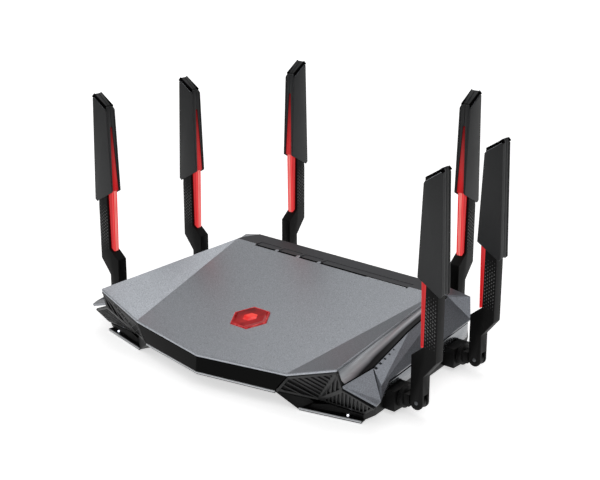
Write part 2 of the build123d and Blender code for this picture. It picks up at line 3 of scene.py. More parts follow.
import logging
from contextlib import contextmanager
from dataclasses import dataclass, field
from enum import Enum
from math import cos, pi, radians, sin
from typing import Callable, Iterator, Sequence

import bmesh
import bpy
from mathutils import Matrix, Vector


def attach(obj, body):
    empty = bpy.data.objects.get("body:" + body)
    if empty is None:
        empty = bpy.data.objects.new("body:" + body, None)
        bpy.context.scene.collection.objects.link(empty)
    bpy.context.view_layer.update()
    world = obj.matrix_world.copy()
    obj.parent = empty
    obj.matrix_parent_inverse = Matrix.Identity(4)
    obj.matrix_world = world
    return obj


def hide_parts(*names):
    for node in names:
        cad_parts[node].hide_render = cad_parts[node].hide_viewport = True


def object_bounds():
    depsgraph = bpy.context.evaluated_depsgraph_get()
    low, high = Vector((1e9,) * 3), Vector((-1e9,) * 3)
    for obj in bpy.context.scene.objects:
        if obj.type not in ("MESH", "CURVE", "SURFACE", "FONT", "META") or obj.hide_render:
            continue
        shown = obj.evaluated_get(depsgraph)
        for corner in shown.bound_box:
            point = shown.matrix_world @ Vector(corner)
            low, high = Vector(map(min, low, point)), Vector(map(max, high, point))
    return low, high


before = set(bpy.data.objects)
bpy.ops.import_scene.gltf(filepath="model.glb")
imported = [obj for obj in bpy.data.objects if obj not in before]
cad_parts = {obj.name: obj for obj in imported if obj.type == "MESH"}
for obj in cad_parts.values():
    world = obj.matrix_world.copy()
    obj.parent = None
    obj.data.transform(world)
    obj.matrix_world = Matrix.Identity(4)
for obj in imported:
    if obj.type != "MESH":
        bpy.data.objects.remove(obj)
cad_low, cad_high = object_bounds()

logging.basicConfig(level=logging.INFO, format="%(message)s")
LOG = logging.getLogger("router")

MM = 0.001
MIDDLE_Y = 6.65  # the case is drawn this far in front of the whole object's middle
FLOAT_GAP = 0.02  # small clearance that keeps two faces from lying in one plane
PANEL_CREASE = 12  # the panels' facets meet at more than this many degrees

Point = tuple[float, float, float]
Piece = bpy.types.Object
Tree = bpy.types.NodeTree
Node = bpy.types.Node
Socket = bpy.types.NodeSocket


class Slot(Enum):
    """The record's material slots."""

    CAP = "antenna_cap"
    CORE = "antenna_core"
    RED_LIGHT = "red_light"
    PIN = "pin_steel"
    METAL = "metal_finish"
    DARK_METAL = "dark_metal_finish"
    GLOSS = "gloss_black"
    DECK = "deck_grey"
    CASE = "case_black"
    BUTTON = "button_black"
    CLEAR = "clear_plastic"
    TIN = "tin_plate"
    RUBBER = "rubber"
    BLACK = "black_plastic"


class Pick(Enum):
    """What an edit selects."""

    POINTS = "VERT"
    EDGES = "EDGE"
    FACES = "FACE"


# ------------------------------------------------------------------ modelling bench


def at(x: float, y: float, z: float) -> Vector:
    """A point of the case's own drawing, in millimetres, as a place in the shared frame."""
    return Vector((x, y - MIDDLE_Y, z)) * MM


def mirrored(point: Point, side: int) -> Point:
    """A right-hand point, mirrored across the middle for side -1."""
    return (point[0] * side, point[1], point[2])


def lerp(start: Point, end: Point, share: float) -> Point:
    """A point part of the way from start to end."""
    return tuple(a + (b - a) * share for a, b in zip(start, end))


def clear_selection() -> None:
    """Back to object mode with nothing selected."""
    if bpy.context.mode != "OBJECT":
        bpy.ops.object.mode_set(mode="OBJECT")
    bpy.ops.object.select_all(action="DESELECT")


def take(*pieces: Piece) -> None:
    """Selects these pieces only, the first of them active."""
    clear_selection()
    for piece in pieces:
        piece.select_set(True)
    bpy.context.view_layer.objects.active = pieces[0]


@contextmanager
def editing(piece: Piece, kind: Pick = Pick.FACES, pick: Callable | None = None) -> Iterator[None]:
    """Edit mode on one piece, with all of it selected or what pick accepts.

    Args:
        piece: the piece to edit.
        kind: whether points, edges or faces are selected.
        pick: a test of one point, edge or face; None selects everything.
    """
    take(piece)
    bpy.ops.object.mode_set(mode="EDIT")
    bpy.ops.mesh.select_mode(type=kind.value)
    bpy.ops.mesh.select_all(action="SELECT" if pick is None else "DESELECT")
    if pick is not None:
        mesh = bmesh.from_edit_mesh(piece.data)
        group = {Pick.POINTS: mesh.verts, Pick.EDGES: mesh.edges, Pick.FACES: mesh.faces}[kind]
        for element in group:
            element.select_set(bool(pick(element)))
        mesh.select_flush_mode()
        bmesh.update_edit_mesh(piece.data)
    yield
    bpy.ops.object.mode_set(mode="OBJECT")


def renamed(piece: Piece, name: str) -> Piece:
    """The piece, with its object and mesh given one name."""
    piece.name = name
    piece.data.name = name
    return piece


def settle() -> Piece:
    """Puts the active object's place and turn into its mesh, and returns it."""
    bpy.ops.object.transform_apply(location=True, rotation=True, scale=True)
    return bpy.context.object


def modified(piece: Piece, kind: str, **settings: object) -> Piece:
    """Adds a modifier, sets it and applies it.

    Args:
        piece: the piece to change.
        kind: Blender's name for the modifier.
        settings: the modifier's own settings.

    Returns:
        The same piece.
    """
    take(piece)
    modifier = piece.modifiers.new(kind.title(), kind)
    for key, value in settings.items():
        setattr(modifier, key, value)
    bpy.ops.object.modifier_apply(modifier=modifier.name)
    return piece


def outward(piece: Piece) -> Piece:
    """Merges doubles and turns every face outwards."""
    with editing(piece):
        bpy.ops.mesh.remove_doubles(threshold=1e-6)
        bpy.ops.mesh.normals_make_consistent(inside=False)
    return piece


def block(name: str, low: Point | Vector, high: Point | Vector) -> Piece:
    """A rectangular start for a piece, between two corners in metres."""
    clear_selection()
    low, high = Vector(low), Vector(high)
    bpy.ops.mesh.primitive_cube_add(size=1, location=(low + high) / 2, scale=high - low)
    return renamed(settle(), name)


def drum(
    name: str, start: Vector, end: Vector, radius: float, sides: int = 24, tip: float | None = None
) -> Piece:
    """A round or tapered start for a piece, along a line in metres.

    Args:
        name: the piece's name.
        start: middle of its first face.
        end: middle of its last face.
        radius: radius at the start.
        sides: number of facets around it.
        tip: radius at the end, when it tapers.

    Returns:
        The new object.
    """
    clear_selection()
    line = end - start
    bpy.ops.mesh.primitive_cone_add(
        vertices=sides,
        radius1=radius,
        radius2=radius if tip is None else tip,
        depth=line.length,
        location=(start + end) / 2,
        rotation=line.to_track_quat("Z", "Y").to_euler(),
    )
    return renamed(settle(), name)


def plate(name: str, outline: Sequence[Vector], push: Vector) -> Piece:
    """A flat outline pushed out into a solid.

    Args:
        name: the piece's name.
        outline: the corners in order, in metres.
        push: which way and how far the outline is extruded.

    Returns:
        The new object, closed, its faces outwards.
    """
    clear_selection()
    bpy.ops.mesh.primitive_circle_add(vertices=len(outline), radius=1, fill_type="NGON")
    piece = renamed(bpy.context.object, name)
    for vertex, corner in zip(piece.data.vertices, outline):
        vertex.co = corner
    with editing(piece):
        bpy.ops.mesh.extrude_region_move(TRANSFORM_OT_translate={"value": push})
        bpy.ops.mesh.select_all(action="SELECT")
        bpy.ops.mesh.normals_make_consistent(inside=False)
    return piece


def turned(
    name: str, profile: Sequence[Vector], centre: Vector, axis: Vector, steps: int = 32
) -> Piece:
    """A closed half-profile spun once around an axis."""
    clear_selection()
    bpy.ops.mesh.primitive_circle_add(vertices=len(profile), radius=1, fill_type="NOTHING")
    piece = renamed(bpy.context.object, name)
    for vertex, corner in zip(piece.data.vertices, profile):
        vertex.co = corner
    with editing(piece, Pick.EDGES):
        bpy.ops.mesh.spin(steps=steps, angle=2 * pi, center=centre, axis=axis)
        bpy.ops.mesh.select_all(action="SELECT")
        bpy.ops.mesh.remove_doubles(threshold=1e-6)
        bpy.ops.mesh.dissolve_degenerate(threshold=1e-6)
    return outward(piece)


def sheet(name: str, rows: Sequence[Sequence[Vector]], thickness: float) -> Piece:
    """A curved skin laid through rows of points, then given its wall.

    Args:
        name: the piece's name.
        rows: rows of points, each with the same number, in metres.
        thickness: the wall, in metres, below the skin's outer face.

    Returns:
        The new object.
    """
    clear_selection()
    across, along = len(rows[0]), len(rows)
    bpy.ops.mesh.primitive_grid_add(x_subdivisions=across - 1, y_subdivisions=along - 1, size=2)
    piece = renamed(bpy.context.object, name)
    for index, vertex in enumerate(piece.data.vertices):
        vertex.co = rows[index // across][index % across]
    return modified(piece, "SOLIDIFY", thickness=thickness, offset=0)


def joined(name: str, pieces: Sequence[Piece]) -> Piece:
    """Several starts made one piece."""
    take(*pieces)
    if len(pieces) > 1:
        bpy.ops.object.join()
    return renamed(bpy.context.object, name)


def copied(piece: Piece, name: str, place: Matrix | None = None) -> Piece:
    """A copy with its own mesh, put in its place.

    Args:
        piece: what is copied.
        name: the copy's name.
        place: the move that takes the mesh to its place.

    Returns:
        The copy.
    """
    twin = bpy.data.objects.new(name, piece.data.copy())
    twin.data.name = name
    bpy.context.scene.collection.objects.link(twin)
    if place is not None:
        twin.data.transform(place)
    return twin


def discard(*pieces: Piece) -> None:
    """Removes patterns that have been copied."""
    for piece in pieces:
        bpy.data.objects.remove(piece)


def softened(
    piece: Piece,
    width: float,
    segments: int = 2,
    angle: float = 32,
    lit_edge: bool = False,
    crease: float = 35,
) -> Piece:
    """Rounds the sharp edges as moulding does, and smooths the shading.

    Args:
        piece: the piece to finish.
        width: width of the rounding in millimetres.
        segments: how finely it is rounded.
        angle: edges sharper than this many degrees are rounded.
        lit_edge: whether the rounding takes the piece's second finish, a paler one that paints an edge
            highlight.
        crease: folds sharper than this many degrees keep a hard edge.

    Returns:
        The same piece.
    """
    modified(
        piece,
        "BEVEL",
        width=width * MM,
        segments=segments,
        limit_method="ANGLE",
        angle_limit=radians(angle),
        use_clamp_overlap=True,
        material=1 if lit_edge else -1,
    )
    take(piece)
    bpy.ops.object.shade_smooth_by_angle(angle=radians(crease))
    return piece


def carried(node: str, name: str) -> Piece:
    """A merged copy of a frame node, ready to be finished.

    Args:
        node: the frame node that is copied.
        name: the new piece's name.

    Returns:
        The copy, with flat faces whole again.
    """
    piece = copied(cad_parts[node], name)
    piece.data.materials.clear()
    take(piece)
    bpy.ops.mesh.customdata_custom_splitnormals_clear()
    with editing(piece):
        bpy.ops.mesh.remove_doubles(threshold=2e-6)
        bpy.ops.mesh.dissolve_limited(angle_limit=radians(0.4))
        bpy.ops.mesh.normals_make_consistent(inside=False)
    return piece


def cut_away(piece: Piece, cutter: Piece) -> Piece:
    """Cuts one solid out of a piece and removes the cutter."""
    modified(piece, "BOOLEAN", operation="DIFFERENCE", solver="EXACT", object=cutter)
    discard(cutter)
    return piece


# ------------------------------------------------------------------ finishes


def linear(code: str) -> tuple[float, float, float, float]:
    """An sRGB hex colour as Blender's linear colour."""
    channels = [int(code[i : i + 2], 16) / 255 for i in (1, 3, 5)]
    return (*(c / 12.92 if c <= 0.04045 else ((c + 0.055) / 1.055) ** 2.4 for c in channels), 1.0)


def add_node(
    tree: Tree, kind: str, inputs: dict | None = None, **settings: object
) -> Node:
    """Adds a shader node.

    Args:
        tree: the material's or world's tree.
        kind: Blender's name for the node.
        inputs: for each input socket, a value or the output socket to link to it.
        settings: the node's own settings.

    Returns:
        The new node.
    """
    node = tree.nodes.new(kind)
    for key, value in settings.items():
        setattr(node, key, value)
    for socket, value in (inputs or {}).items():
        if isinstance(value, Socket):
            tree.links.new(value, node.inputs[socket])
        else:
            node.inputs[socket].default_value = value
    return node


def set_ramp(node: Node, stops: Sequence[tuple[float, str]]) -> Socket:
    """Fills a colour ramp with (place, hex colour) stops and returns its colour socket."""
    ramp = node.color_ramp
    while len(ramp.elements) < len(stops):
        ramp.elements.new(1.0)
    for element, (place, code) in zip(ramp.elements, stops):
        element.position = place
        element.color = linear(code)
    return node.outputs["Color"]


def ranged(
    tree: Tree,
    value: Socket,
    low: float,
    high: float,
    start: float = 0.0,
    end: float = 1.0,
) -> Socket:
    """Maps a value that runs from start to end onto low to high."""
    ends = {"From Min": start, "From Max": end, "To Min": low, "To Max": high}
    return add_node(tree, "ShaderNodeMapRange", {"Value": value} | ends).outputs["Result"]


def blended(
    tree: Tree, share: Socket, first: str, second: str | Socket
) -> Socket:
    """Mixes a hex colour with another colour, which is a hex colour too or a socket."""
    node = add_node(tree, "ShaderNodeMix", {"Factor": share}, data_type="RGBA")
    node.inputs["A"].default_value = linear(first)
    if isinstance(second, str):
        node.inputs["B"].default_value = linear(second)
    else:
        tree.links.new(second, node.inputs["B"])
    return node.outputs["Result"]


@dataclass(frozen=True)
class Finish:
    """What every finish has: a name, a colour, and a roughness."""

    name: str
    colour: str
    roughness: float

    def sockets(self) -> dict:
        """The shader's constant values."""
        return {"Roughness": self.roughness}

    def place(self, tree: Tree) -> Socket:
        """Where the pattern sits: the piece's own coordinates, in metres."""
        return add_node(tree, "ShaderNodeTexCoord").outputs["Object"]

    def dress(self, tree: Tree, shader: Node, place: Socket) -> None:
        """Adds the finish's pattern; each finish has its own."""
        raise NotImplementedError

    def material(self) -> bpy.types.Material:
        """The finish as a material, made once."""
        if self.name in bpy.data.materials:
            return bpy.data.materials[self.name]
        made = bpy.data.materials.new(self.name)
        made.use_nodes = True
        tree = made.node_tree
        tree.nodes.clear()
        constants = {"Base Color": linear(self.colour)} | self.sockets()
        shader = add_node(tree, "ShaderNodeBsdfPrincipled", constants)
        self.dress(tree, shader, self.place(tree))
        add_node(tree, "ShaderNodeOutputMaterial", {"Surface": shader.outputs["BSDF"]})
        return made

    def grain(
        self,
        tree: Tree,
        place: Socket,
        size: float,
        detail: float = 3.0,
        stretch: Point = (1, 1, 1),
    ) -> Socket:
        """A noise pattern whose marks are size millimetres, drawn out along an axis by stretch."""
        mapped = add_node(tree, "ShaderNodeMapping", {"Vector": place, "Scale": stretch})
        return add_node(
            tree,
            "ShaderNodeTexNoise",
            {"Vector": mapped.outputs["Vector"], "Scale": 1 / (size * MM), "Detail": detail},
        ).outputs["Fac"]

    def uneven(
        self,
        tree: Tree,
        shader: Node,
        pattern: Socket,
        low: float,
        high: float,
    ) -> None:
        """Lets a pattern vary the roughness from low to high."""
        tree.links.new(ranged(tree, pattern, low, high), shader.inputs["Roughness"])

    def relief(
        self, tree: Tree, shader: Node, height: Socket, depth: float
    ) -> None:
        """Raises the surface by a pattern, depth millimetres at most."""
        bump = add_node(tree, "ShaderNodeBump", {"Height": height, "Distance": depth * MM, "Strength": 1.0})
        tree.links.new(bump.outputs["Normal"], shader.inputs["Normal"])


@dataclass(frozen=True)
class SatinMetalPaint(Finish):
    """ABS with a sprayed metallic coat: bright flakes give a soft, grainy silver sheen."""

    flake: str = "#c6cad0"
    metallic: float = 0.75
    flake_mm: float = 0.55  # real flakes are a tenth of this, too fine to show
    cloud_mm: float = 60.0

    def sockets(self) -> dict:
        """A clear satin coat over the flakes."""
        return {"Metallic": self.metallic, "Coat Weight": 0.12, "Coat Roughness": 0.25}

    def dress(self, tree: Tree, shader: Node, place: Socket) -> None:
        """Flakes vary the colour and roughness, and a slow cloud varies the coat."""
        flakes = self.grain(tree, place, self.flake_mm, 2.0)
        cloud = self.grain(tree, place, self.cloud_mm, 1.0)
        spread = ranged(tree, flakes, 0.0, 1.0, start=0.3, end=0.75)
        tree.links.new(blended(tree, spread, self.colour, self.flake), shader.inputs["Base Color"])
        self.uneven(tree, shader, cloud, self.roughness - 0.04, self.roughness + 0.05)
        self.relief(tree, shader, flakes, 0.012)


@dataclass(frozen=True)
class BrushedMetal(Finish):
    """Brushed aluminium foil on a moulding: fine lines along its length, with painted light across it: a
    painted reflection band above and painted shade in the lower part of the hollow.
    """

    # colours across the strip from its top to its foot, which paint its reflection and shade
    stops: tuple[tuple[float, str], ...] = ((0.0, "#3a3d41"), (1.0, "#b9bdc2"))
    line_mm: float = 0.35

    def sockets(self) -> dict:
        """A bare metal."""
        return {"Metallic": 0.6}

    def dress(self, tree: Tree, shader: Node, place: Socket) -> None:
        """Colour follows the strip's own across attribute, painting a reflection band above and shade below,
        with brush lines along y.
        """
        lines = self.grain(tree, place, self.line_mm, 4.0, (1, 0.02, 1))
        across = add_node(tree, "ShaderNodeAttribute", attribute_name="across").outputs["Fac"]
        # painted light: the ramp lays a reflection band and shade across the strip
        shade = set_ramp(add_node(tree, "ShaderNodeValToRGB", {"Fac": across}), self.stops)
        streak = ranged(tree, lines, 0.72, 1.2)
        colour = add_node(tree, "ShaderNodeVectorMath", {0: shade, "Scale": streak}, operation="SCALE")
        tree.links.new(colour.outputs["Vector"], shader.inputs["Base Color"])
        self.uneven(tree, shader, lines, self.roughness - 0.06, self.roughness + 0.1)
        self.relief(tree, shader, lines, 0.02)


@dataclass(frozen=True)
class MouldedPlastic(Finish):
    """Injection-moulded ABS with a fine spark-eroded texture: matt, with a faint mottled sheen."""

    texture_mm: float = 0.5
    depth_mm: float = 0.02
    sheen: str = "#5a5a5c"
    level: float = 0.4

    def sockets(self) -> dict:
        """Plastic's usual index, with its reflection held down by the texture."""
        return {"IOR": 1.5, "Specular IOR Level": self.level}

    def dress(self, tree: Tree, shader: Node, place: Socket) -> None:
        """Texture lifts the colour a little at its peaks and raises the surface."""
        pits = self.grain(tree, place, self.texture_mm, 3.0)
        cloud = self.grain(tree, place, 25.0, 2.0)
        shift = ranged(tree, pits, 0.0, 0.22)
        tree.links.new(blended(tree, shift, self.colour, self.sheen), shader.inputs["Base Color"])
        self.uneven(tree, shader, cloud, self.roughness - 0.05, self.roughness + 0.07)
        self.relief(tree, shader, pits, self.depth_mm)


@dataclass(frozen=True)
class PolishedPlastic(Finish):
    """High-gloss ABS from a polished tool: deep, with a very slight ripple and faint hairlines."""

    ripple_mm: float = 14.0
    coat: float = 0.6
    level: float = 0.5
    metallic: float = 0.0
    ripple_depth: float = 0.06

    def sockets(self) -> dict:
        """A gloss coat over the plastic."""
        return {
            "IOR": 1.5,
            "Metallic": self.metallic,
            "Specular IOR Level": self.level,
            "Coat Weight": self.coat,
            "Coat Roughness": 0.04,
        }

    def dress(self, tree: Tree, shader: Node, place: Socket) -> None:
        """Ripples bend the reflections, and hairlines vary the gloss."""
        ripple = self.grain(tree, place, self.ripple_mm, 1.0)
        hairs = self.grain(tree, place, 0.8, 4.0, (1, 0.1, 1))
        tinted = {0: linear(self.colour)[:3], "Scale": ranged(tree, hairs, 0.85, 1.15)}
        colour = add_node(tree, "ShaderNodeVectorMath", tinted, operation="SCALE")
        tree.links.new(colour.outputs["Vector"], shader.inputs["Base Color"])
        self.uneven(tree, shader, hairs, self.roughness * 0.6, self.roughness * 1.5)
        self.relief(tree, shader, ripple, self.ripple_depth)


@dataclass(frozen=True)
class LitAcrylic(Finish):
    """Red acrylic lit from inside: a pale line along its middle is a painted highlight over the red glow,
    deep red at its sides.
    """

    deep: str = "#2a0305"
    # colours from the pipe's middle to its side; the pale stop paints a highlight over the red glow
    stops: tuple[tuple[float, str], ...] = (
        (0.0, "#c2171b"),
        (0.2, "#ff9890"),
        (0.42, "#cf1c20"),
        (0.72, "#f0484a"),
        (1.0, "#b81418"),
    )
    base: Point = (0, 0, 0)  # where the antenna's pin is, in metres
    heading: float = 0.0  # which way the antenna faces, in degrees
    half_mm: float = 3.0  # half the pipe's width
    dark_h: float = 134.0  # the light has faded at this height above the pin
    full_h: float = 84.0
    glow: float = 1.0

    def sockets(self) -> dict:
        """Acrylic's index and a clear coat."""
        return {"IOR": 1.49, "Roughness": self.roughness, "Specular IOR Level": 0.25}

    def place(self, tree: Tree) -> Socket:
        """Coordinates turned to the antenna: outwards, across and up from its pin."""
        own = add_node(tree, "ShaderNodeTexCoord").outputs["Object"]
        return add_node(
            tree,
            "ShaderNodeMapping",
            {"Vector": own, "Location": self.base, "Rotation": (0, 0, radians(self.heading))},
            vector_type="TEXTURE",
        ).outputs["Vector"]

    def dress(self, tree: Tree, shader: Node, place: Socket) -> None:
        """Pale lines of painted highlight run up the pipe beside its middle, a little uneven, over the glow,
        and the light fades at the top.
        """
        parts = add_node(tree, "ShaderNodeSeparateXYZ", {"Vector": place}).outputs
        away = add_node(tree, "ShaderNodeMath", {0: parts["Y"]}, operation="ABSOLUTE").outputs["Value"]
        streaks = self.grain(tree, place, 0.7, 2.0, (1, 1, 0.03))
        shifted = ranged(tree, streaks, -0.5 * MM, 0.5 * MM)
        blurred = add_node(tree, "ShaderNodeMath", {0: away, 1: shifted}, operation="ADD").outputs["Value"]
        share = ranged(tree, blurred, 0.0, 1.0, end=self.half_mm * MM)
        lit = set_ramp(add_node(tree, "ShaderNodeValToRGB", {"Fac": share}), self.stops)
        fade = ranged(tree, parts["Z"], 1.0, 0.0, start=self.full_h * MM, end=self.dark_h * MM)
        tree.links.new(blended(tree, fade, self.deep, lit), shader.inputs["Emission Color"])
        shader.inputs["Emission Strength"].default_value = self.glow
        shader.inputs["Base Color"].default_value = linear(self.deep)


@dataclass(frozen=True)
class LitLens(Finish):
    """Tinted acrylic lens over a light: cloudy bright patches under a glossy face."""

    bright: str = "#ff6a5a"
    dark: str = "#4a0406"
    patch_mm: float = 7.0
    glow: float = 0.8

    def sockets(self) -> dict:
        """Acrylic's index and a clear coat."""
        return {
            "IOR": 1.49,
            "Roughness": self.roughness,
            "Specular IOR Level": 0.3,
            "Base Color": linear(self.dark),
        }

    def dress(self, tree: Tree, shader: Node, place: Socket) -> None:
        """Soft patches of light of one colour."""
        patches = self.grain(tree, place, self.patch_mm, 2.0)
        shade = set_ramp(
            add_node(tree, "ShaderNodeValToRGB", {"Fac": patches}),
            ((0.32, self.dark), (0.5, self.colour), (0.7, self.bright)),
        )
        tree.links.new(shade, shader.inputs["Emission Color"])
        shader.inputs["Emission Strength"].default_value = self.glow


@dataclass(frozen=True)
class BareMetal(Finish):
    """Plated, machined or drawn metal: fine tool lines and a little tarnish."""

    line_mm: float = 0.3
    tarnish: str = "#6f7072"

    def sockets(self) -> dict:
        """A bare metal."""
        return {"Metallic": 1.0}

    def dress(self, tree: Tree, shader: Node, place: Socket) -> None:
        """Tool lines vary the gloss, and tarnish dulls the colour in patches."""
        lines = self.grain(tree, place, self.line_mm, 3.0, (1, 0.15, 1))
        cloud = self.grain(tree, place, 9.0, 3.0)
        dull = ranged(tree, cloud, 0.0, 0.5, start=0.4)
        tree.links.new(blended(tree, dull, self.colour, self.tarnish), shader.inputs["Base Color"])
        self.uneven(tree, shader, lines, self.roughness - 0.05, self.roughness + 0.12)
        self.relief(tree, shader, lines, 0.01)


@dataclass(frozen=True)
class SolderMask(Finish):
    """Glass-fibre board under green lacquer: copper tracks show as lighter lines."""

    track: str = "#2f6b3d"
    track_mm: float = 1.6

    def dress(self, tree: Tree, shader: Node, place: Socket) -> None:
        """Square-cornered tracks from a Voronoi pattern, with a woven ripple."""
        cells = add_node(
            tree,
            "ShaderNodeTexVoronoi",
            {"Vector": place, "Scale": 1 / (self.track_mm * 3 * MM)},
            distance="MANHATTAN",
            feature="F1",
        ).outputs["Distance"]
        stops = ((0.3, self.colour), (0.5, self.track), (0.62, self.colour))
        shade = set_ramp(add_node(tree, "ShaderNodeValToRGB", {"Fac": cells}), stops)
        tree.links.new(shade, shader.inputs["Base Color"])
        self.relief(tree, shader, cells, 0.03)


@dataclass(frozen=True)
class StudioPaper(Finish):
    """Seamless pale paper: almost white, with the faintest tooth."""

    backdrop_glow: float = 0.62

    def dress(self, tree: Tree, shader: Node, place: Socket) -> None:
        """A trace of tooth, and the glow of a well-lit backdrop."""
        tooth = self.grain(tree, place, 1.5, 2.0)
        self.relief(tree, shader, tooth, 0.005)
        shader.inputs["Emission Color"].default_value = linear("#ffffff")
        shader.inputs["Emission Strength"].default_value = self.backdrop_glow
        shader.inputs["Specular IOR Level"].default_value = 0.1


PLATE_SILVER = SatinMetalPaint("sprayed_silver_abs", "#888c92", 0.40)
# a paler polished metal that paints the highlight on the plate's rounded edges and beside the deck's long
# slot
PLATE_EDGE_PAINTED_HIGHLIGHT = BareMetal("painted_highlight_plate_edge", "#d5d8dc", 0.18)
WING_GREY = SatinMetalPaint("sprayed_gunmetal_abs", "#5f6268", 0.36, flake="#8b8f96", metallic=0.7)
# a pale metal that paints the highlight along each antenna cap's edge
CAP_EDGE_PAINTED_HIGHLIGHT = BareMetal("painted_highlight_cap_edge", "#a9acb1", 0.2)
# the groove's colours paint a reflection band in its upper part and shade in its lower part beside the wing
GROOVE_FOIL_PAINTED_LIGHT = BrushedMetal(
    "brushed_groove_foil_painted_light",
    "#8a8e93",
    0.42,
    stops=(
        (0.0, "#aeb2b7"),
        (0.2, "#cdd1d5"),
        (0.45, "#dfe2e5"),
        (0.6, "#9a9da2"),
        (0.74, "#0c0c0d"),
        (1.0, "#111113"),
    ),
)
DECK_ABS = MouldedPlastic("spark_textured_grey_abs", "#3e3f42", 0.5, sheen="#6a6b6e")
CAP_ABS = MouldedPlastic(
    "spark_textured_charcoal_abs", "#1f2021", 0.5, texture_mm=0.4, sheen="#38393a", level=0.32
)
NECK_ABS = MouldedPlastic(
    "moulded_black_neck_abs", "#050505", 0.5, texture_mm=0.4, sheen="#121212", level=0.14
)
# near-black plastic that paints shade: the bed seen through the deck slots and the strips under the lip beads
PAINTED_SHADE_BLACK = MouldedPlastic("painted_shade_black", "#010101", 0.8, sheen="#030303", level=0.02)
TRAY_ABS = MouldedPlastic("moulded_black_tray_abs", "#080808", 0.5, sheen="#181819", level=0.18)
RIB_ABS = MouldedPlastic("moulded_black_rib_abs", "#0d0d0e", 0.36, sheen="#2a2a2b", level=0.4)
PIANO_BLACK = PolishedPlastic("piano_black_abs", "#010101", 0.16, coat=0.0, level=0.05)
KNURL_BLACK = PolishedPlastic("polished_black_studs", "#101010", 0.1, ripple_mm=3.0, coat=1.0)
DARK_CHROME = PolishedPlastic(
    "dark_chromed_abs", "#7c7f83", 0.24, ripple_mm=30.0, coat=0.2, metallic=0.95, ripple_depth=0.008
)
# pale plastic that paints the highlight along the apron's lips
LIP_PAINTED_HIGHLIGHT = MouldedPlastic("painted_highlight_lip_edge", "#c4c6c9", 0.35, sheen="#e2e4e6")
BUTTON_ABS = MouldedPlastic("moulded_black_button_abs", "#161617", 0.4, texture_mm=0.3, sheen="#303031")
BADGE_RED = LitLens(
    "lit_red_badge_acrylic", "#a01418", 0.12, bright="#d8302c", dark="#5a080b", patch_mm=16.0, glow=0.7
)
BADGE_RIM = LitLens("lit_badge_rim", "#c8383a", 0.2, bright="#e86a66", dark="#8a1c20", patch_mm=3.0, glow=0.6)
BADGE_CORE = LitLens(
    "lit_red_badge_core", "#d42a28", 0.15, bright="#ff6a5c", dark="#b81c1e", patch_mm=14.0, glow=0.8
)
WHITE_LED = LitLens(
    "lit_white_indicator", "#ffffff", 0.2, bright="#ffffff", dark="#d9e4ff", patch_mm=0.6, glow=1.4
)
LIGHT_GUIDE = LitLens("clear_light_guide", "#b8282a", 0.2, bright="#ff9a94", dark="#7a1214", glow=0.3)
STEEL = BareMetal("ground_steel_pin", "#5a5c5f", 0.4)
ZINC = BareMetal("zinc_plated_screw", "#9fa2a6", 0.3)
TIN = BareMetal("tin_plated_shell", "#c3c5c8", 0.24)
GOLD = BareMetal("gold_plated_contact", "#d9b05a", 0.2, tarnish="#a9803a")
ALUMINIUM = BareMetal("extruded_aluminium", "#b4b7ba", 0.3)
BOARD_GREEN = SolderMask("green_solder_mask", "#123d20", 0.3)
CHIP_BLACK = MouldedPlastic("epoxy_chip_black", "#131314", 0.5, sheen="#262627")
INSERT_BLUE = MouldedPlastic("moulded_blue_insert", "#1b4f9c", 0.4, sheen="#3d73c4")
FOOT_RUBBER = MouldedPlastic(
    "moulded_foot_rubber", "#1b1b1b", 0.75, texture_mm=0.8, depth_mm=0.05, sheen="#2b2b2b"
)
PAPER = StudioPaper("seamless_pale_paper", "#f4f4f4", 0.9)


def placed(
    piece: Piece, body: str, finishes: Sequence[Finish], nodes: Sequence[str] = ()
) -> Piece:
    """Gives a finished piece its materials and its body, and hides the frame nodes it stands for.

    Args:
        piece: the finished piece.
        body: the body it moves with.
        finishes: its materials, in the order its faces number them.
        nodes: the frame nodes it stands for.

    Returns:
        The same piece.
    """
    piece.data.materials.clear()
    for finish in finishes:
        piece.data.materials.append(finish.material())
    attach(piece, body)
    if nodes:
        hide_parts(*nodes)
    LOG.info("%s: %d faces on %s", piece.name, len(piece.data.polygons), body)
    return piece


def finished(
    node: str, name: str, slot: Slot, finish: Finish, width: float, body: str = "case", **rounding: float
) -> Piece:
    """Carries a frame node over, rounds its edges and gives it one finish.

    Args:
        node: the frame node that the piece stands for.
        name: the piece's name.
        slot: not used.
        finish: its finish.
        width: width of the rounding in millimetres.
        body: the body it moves with.
        rounding: softened's other settings.

    Returns:
        The piece.
    """
    return placed(softened(carried(node, name), width, **rounding), body, [finish], [node])


def dressed(node: str, finish: Finish) -> None:
    """Gives a frame node that stays a better material."""
    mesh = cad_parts[node].data
    mesh.materials.clear()
    mesh.materials.append(finish.material())
    LOG.info("%s: keeps its frame shape", node)


# ------------------------------------------------------------------ studio


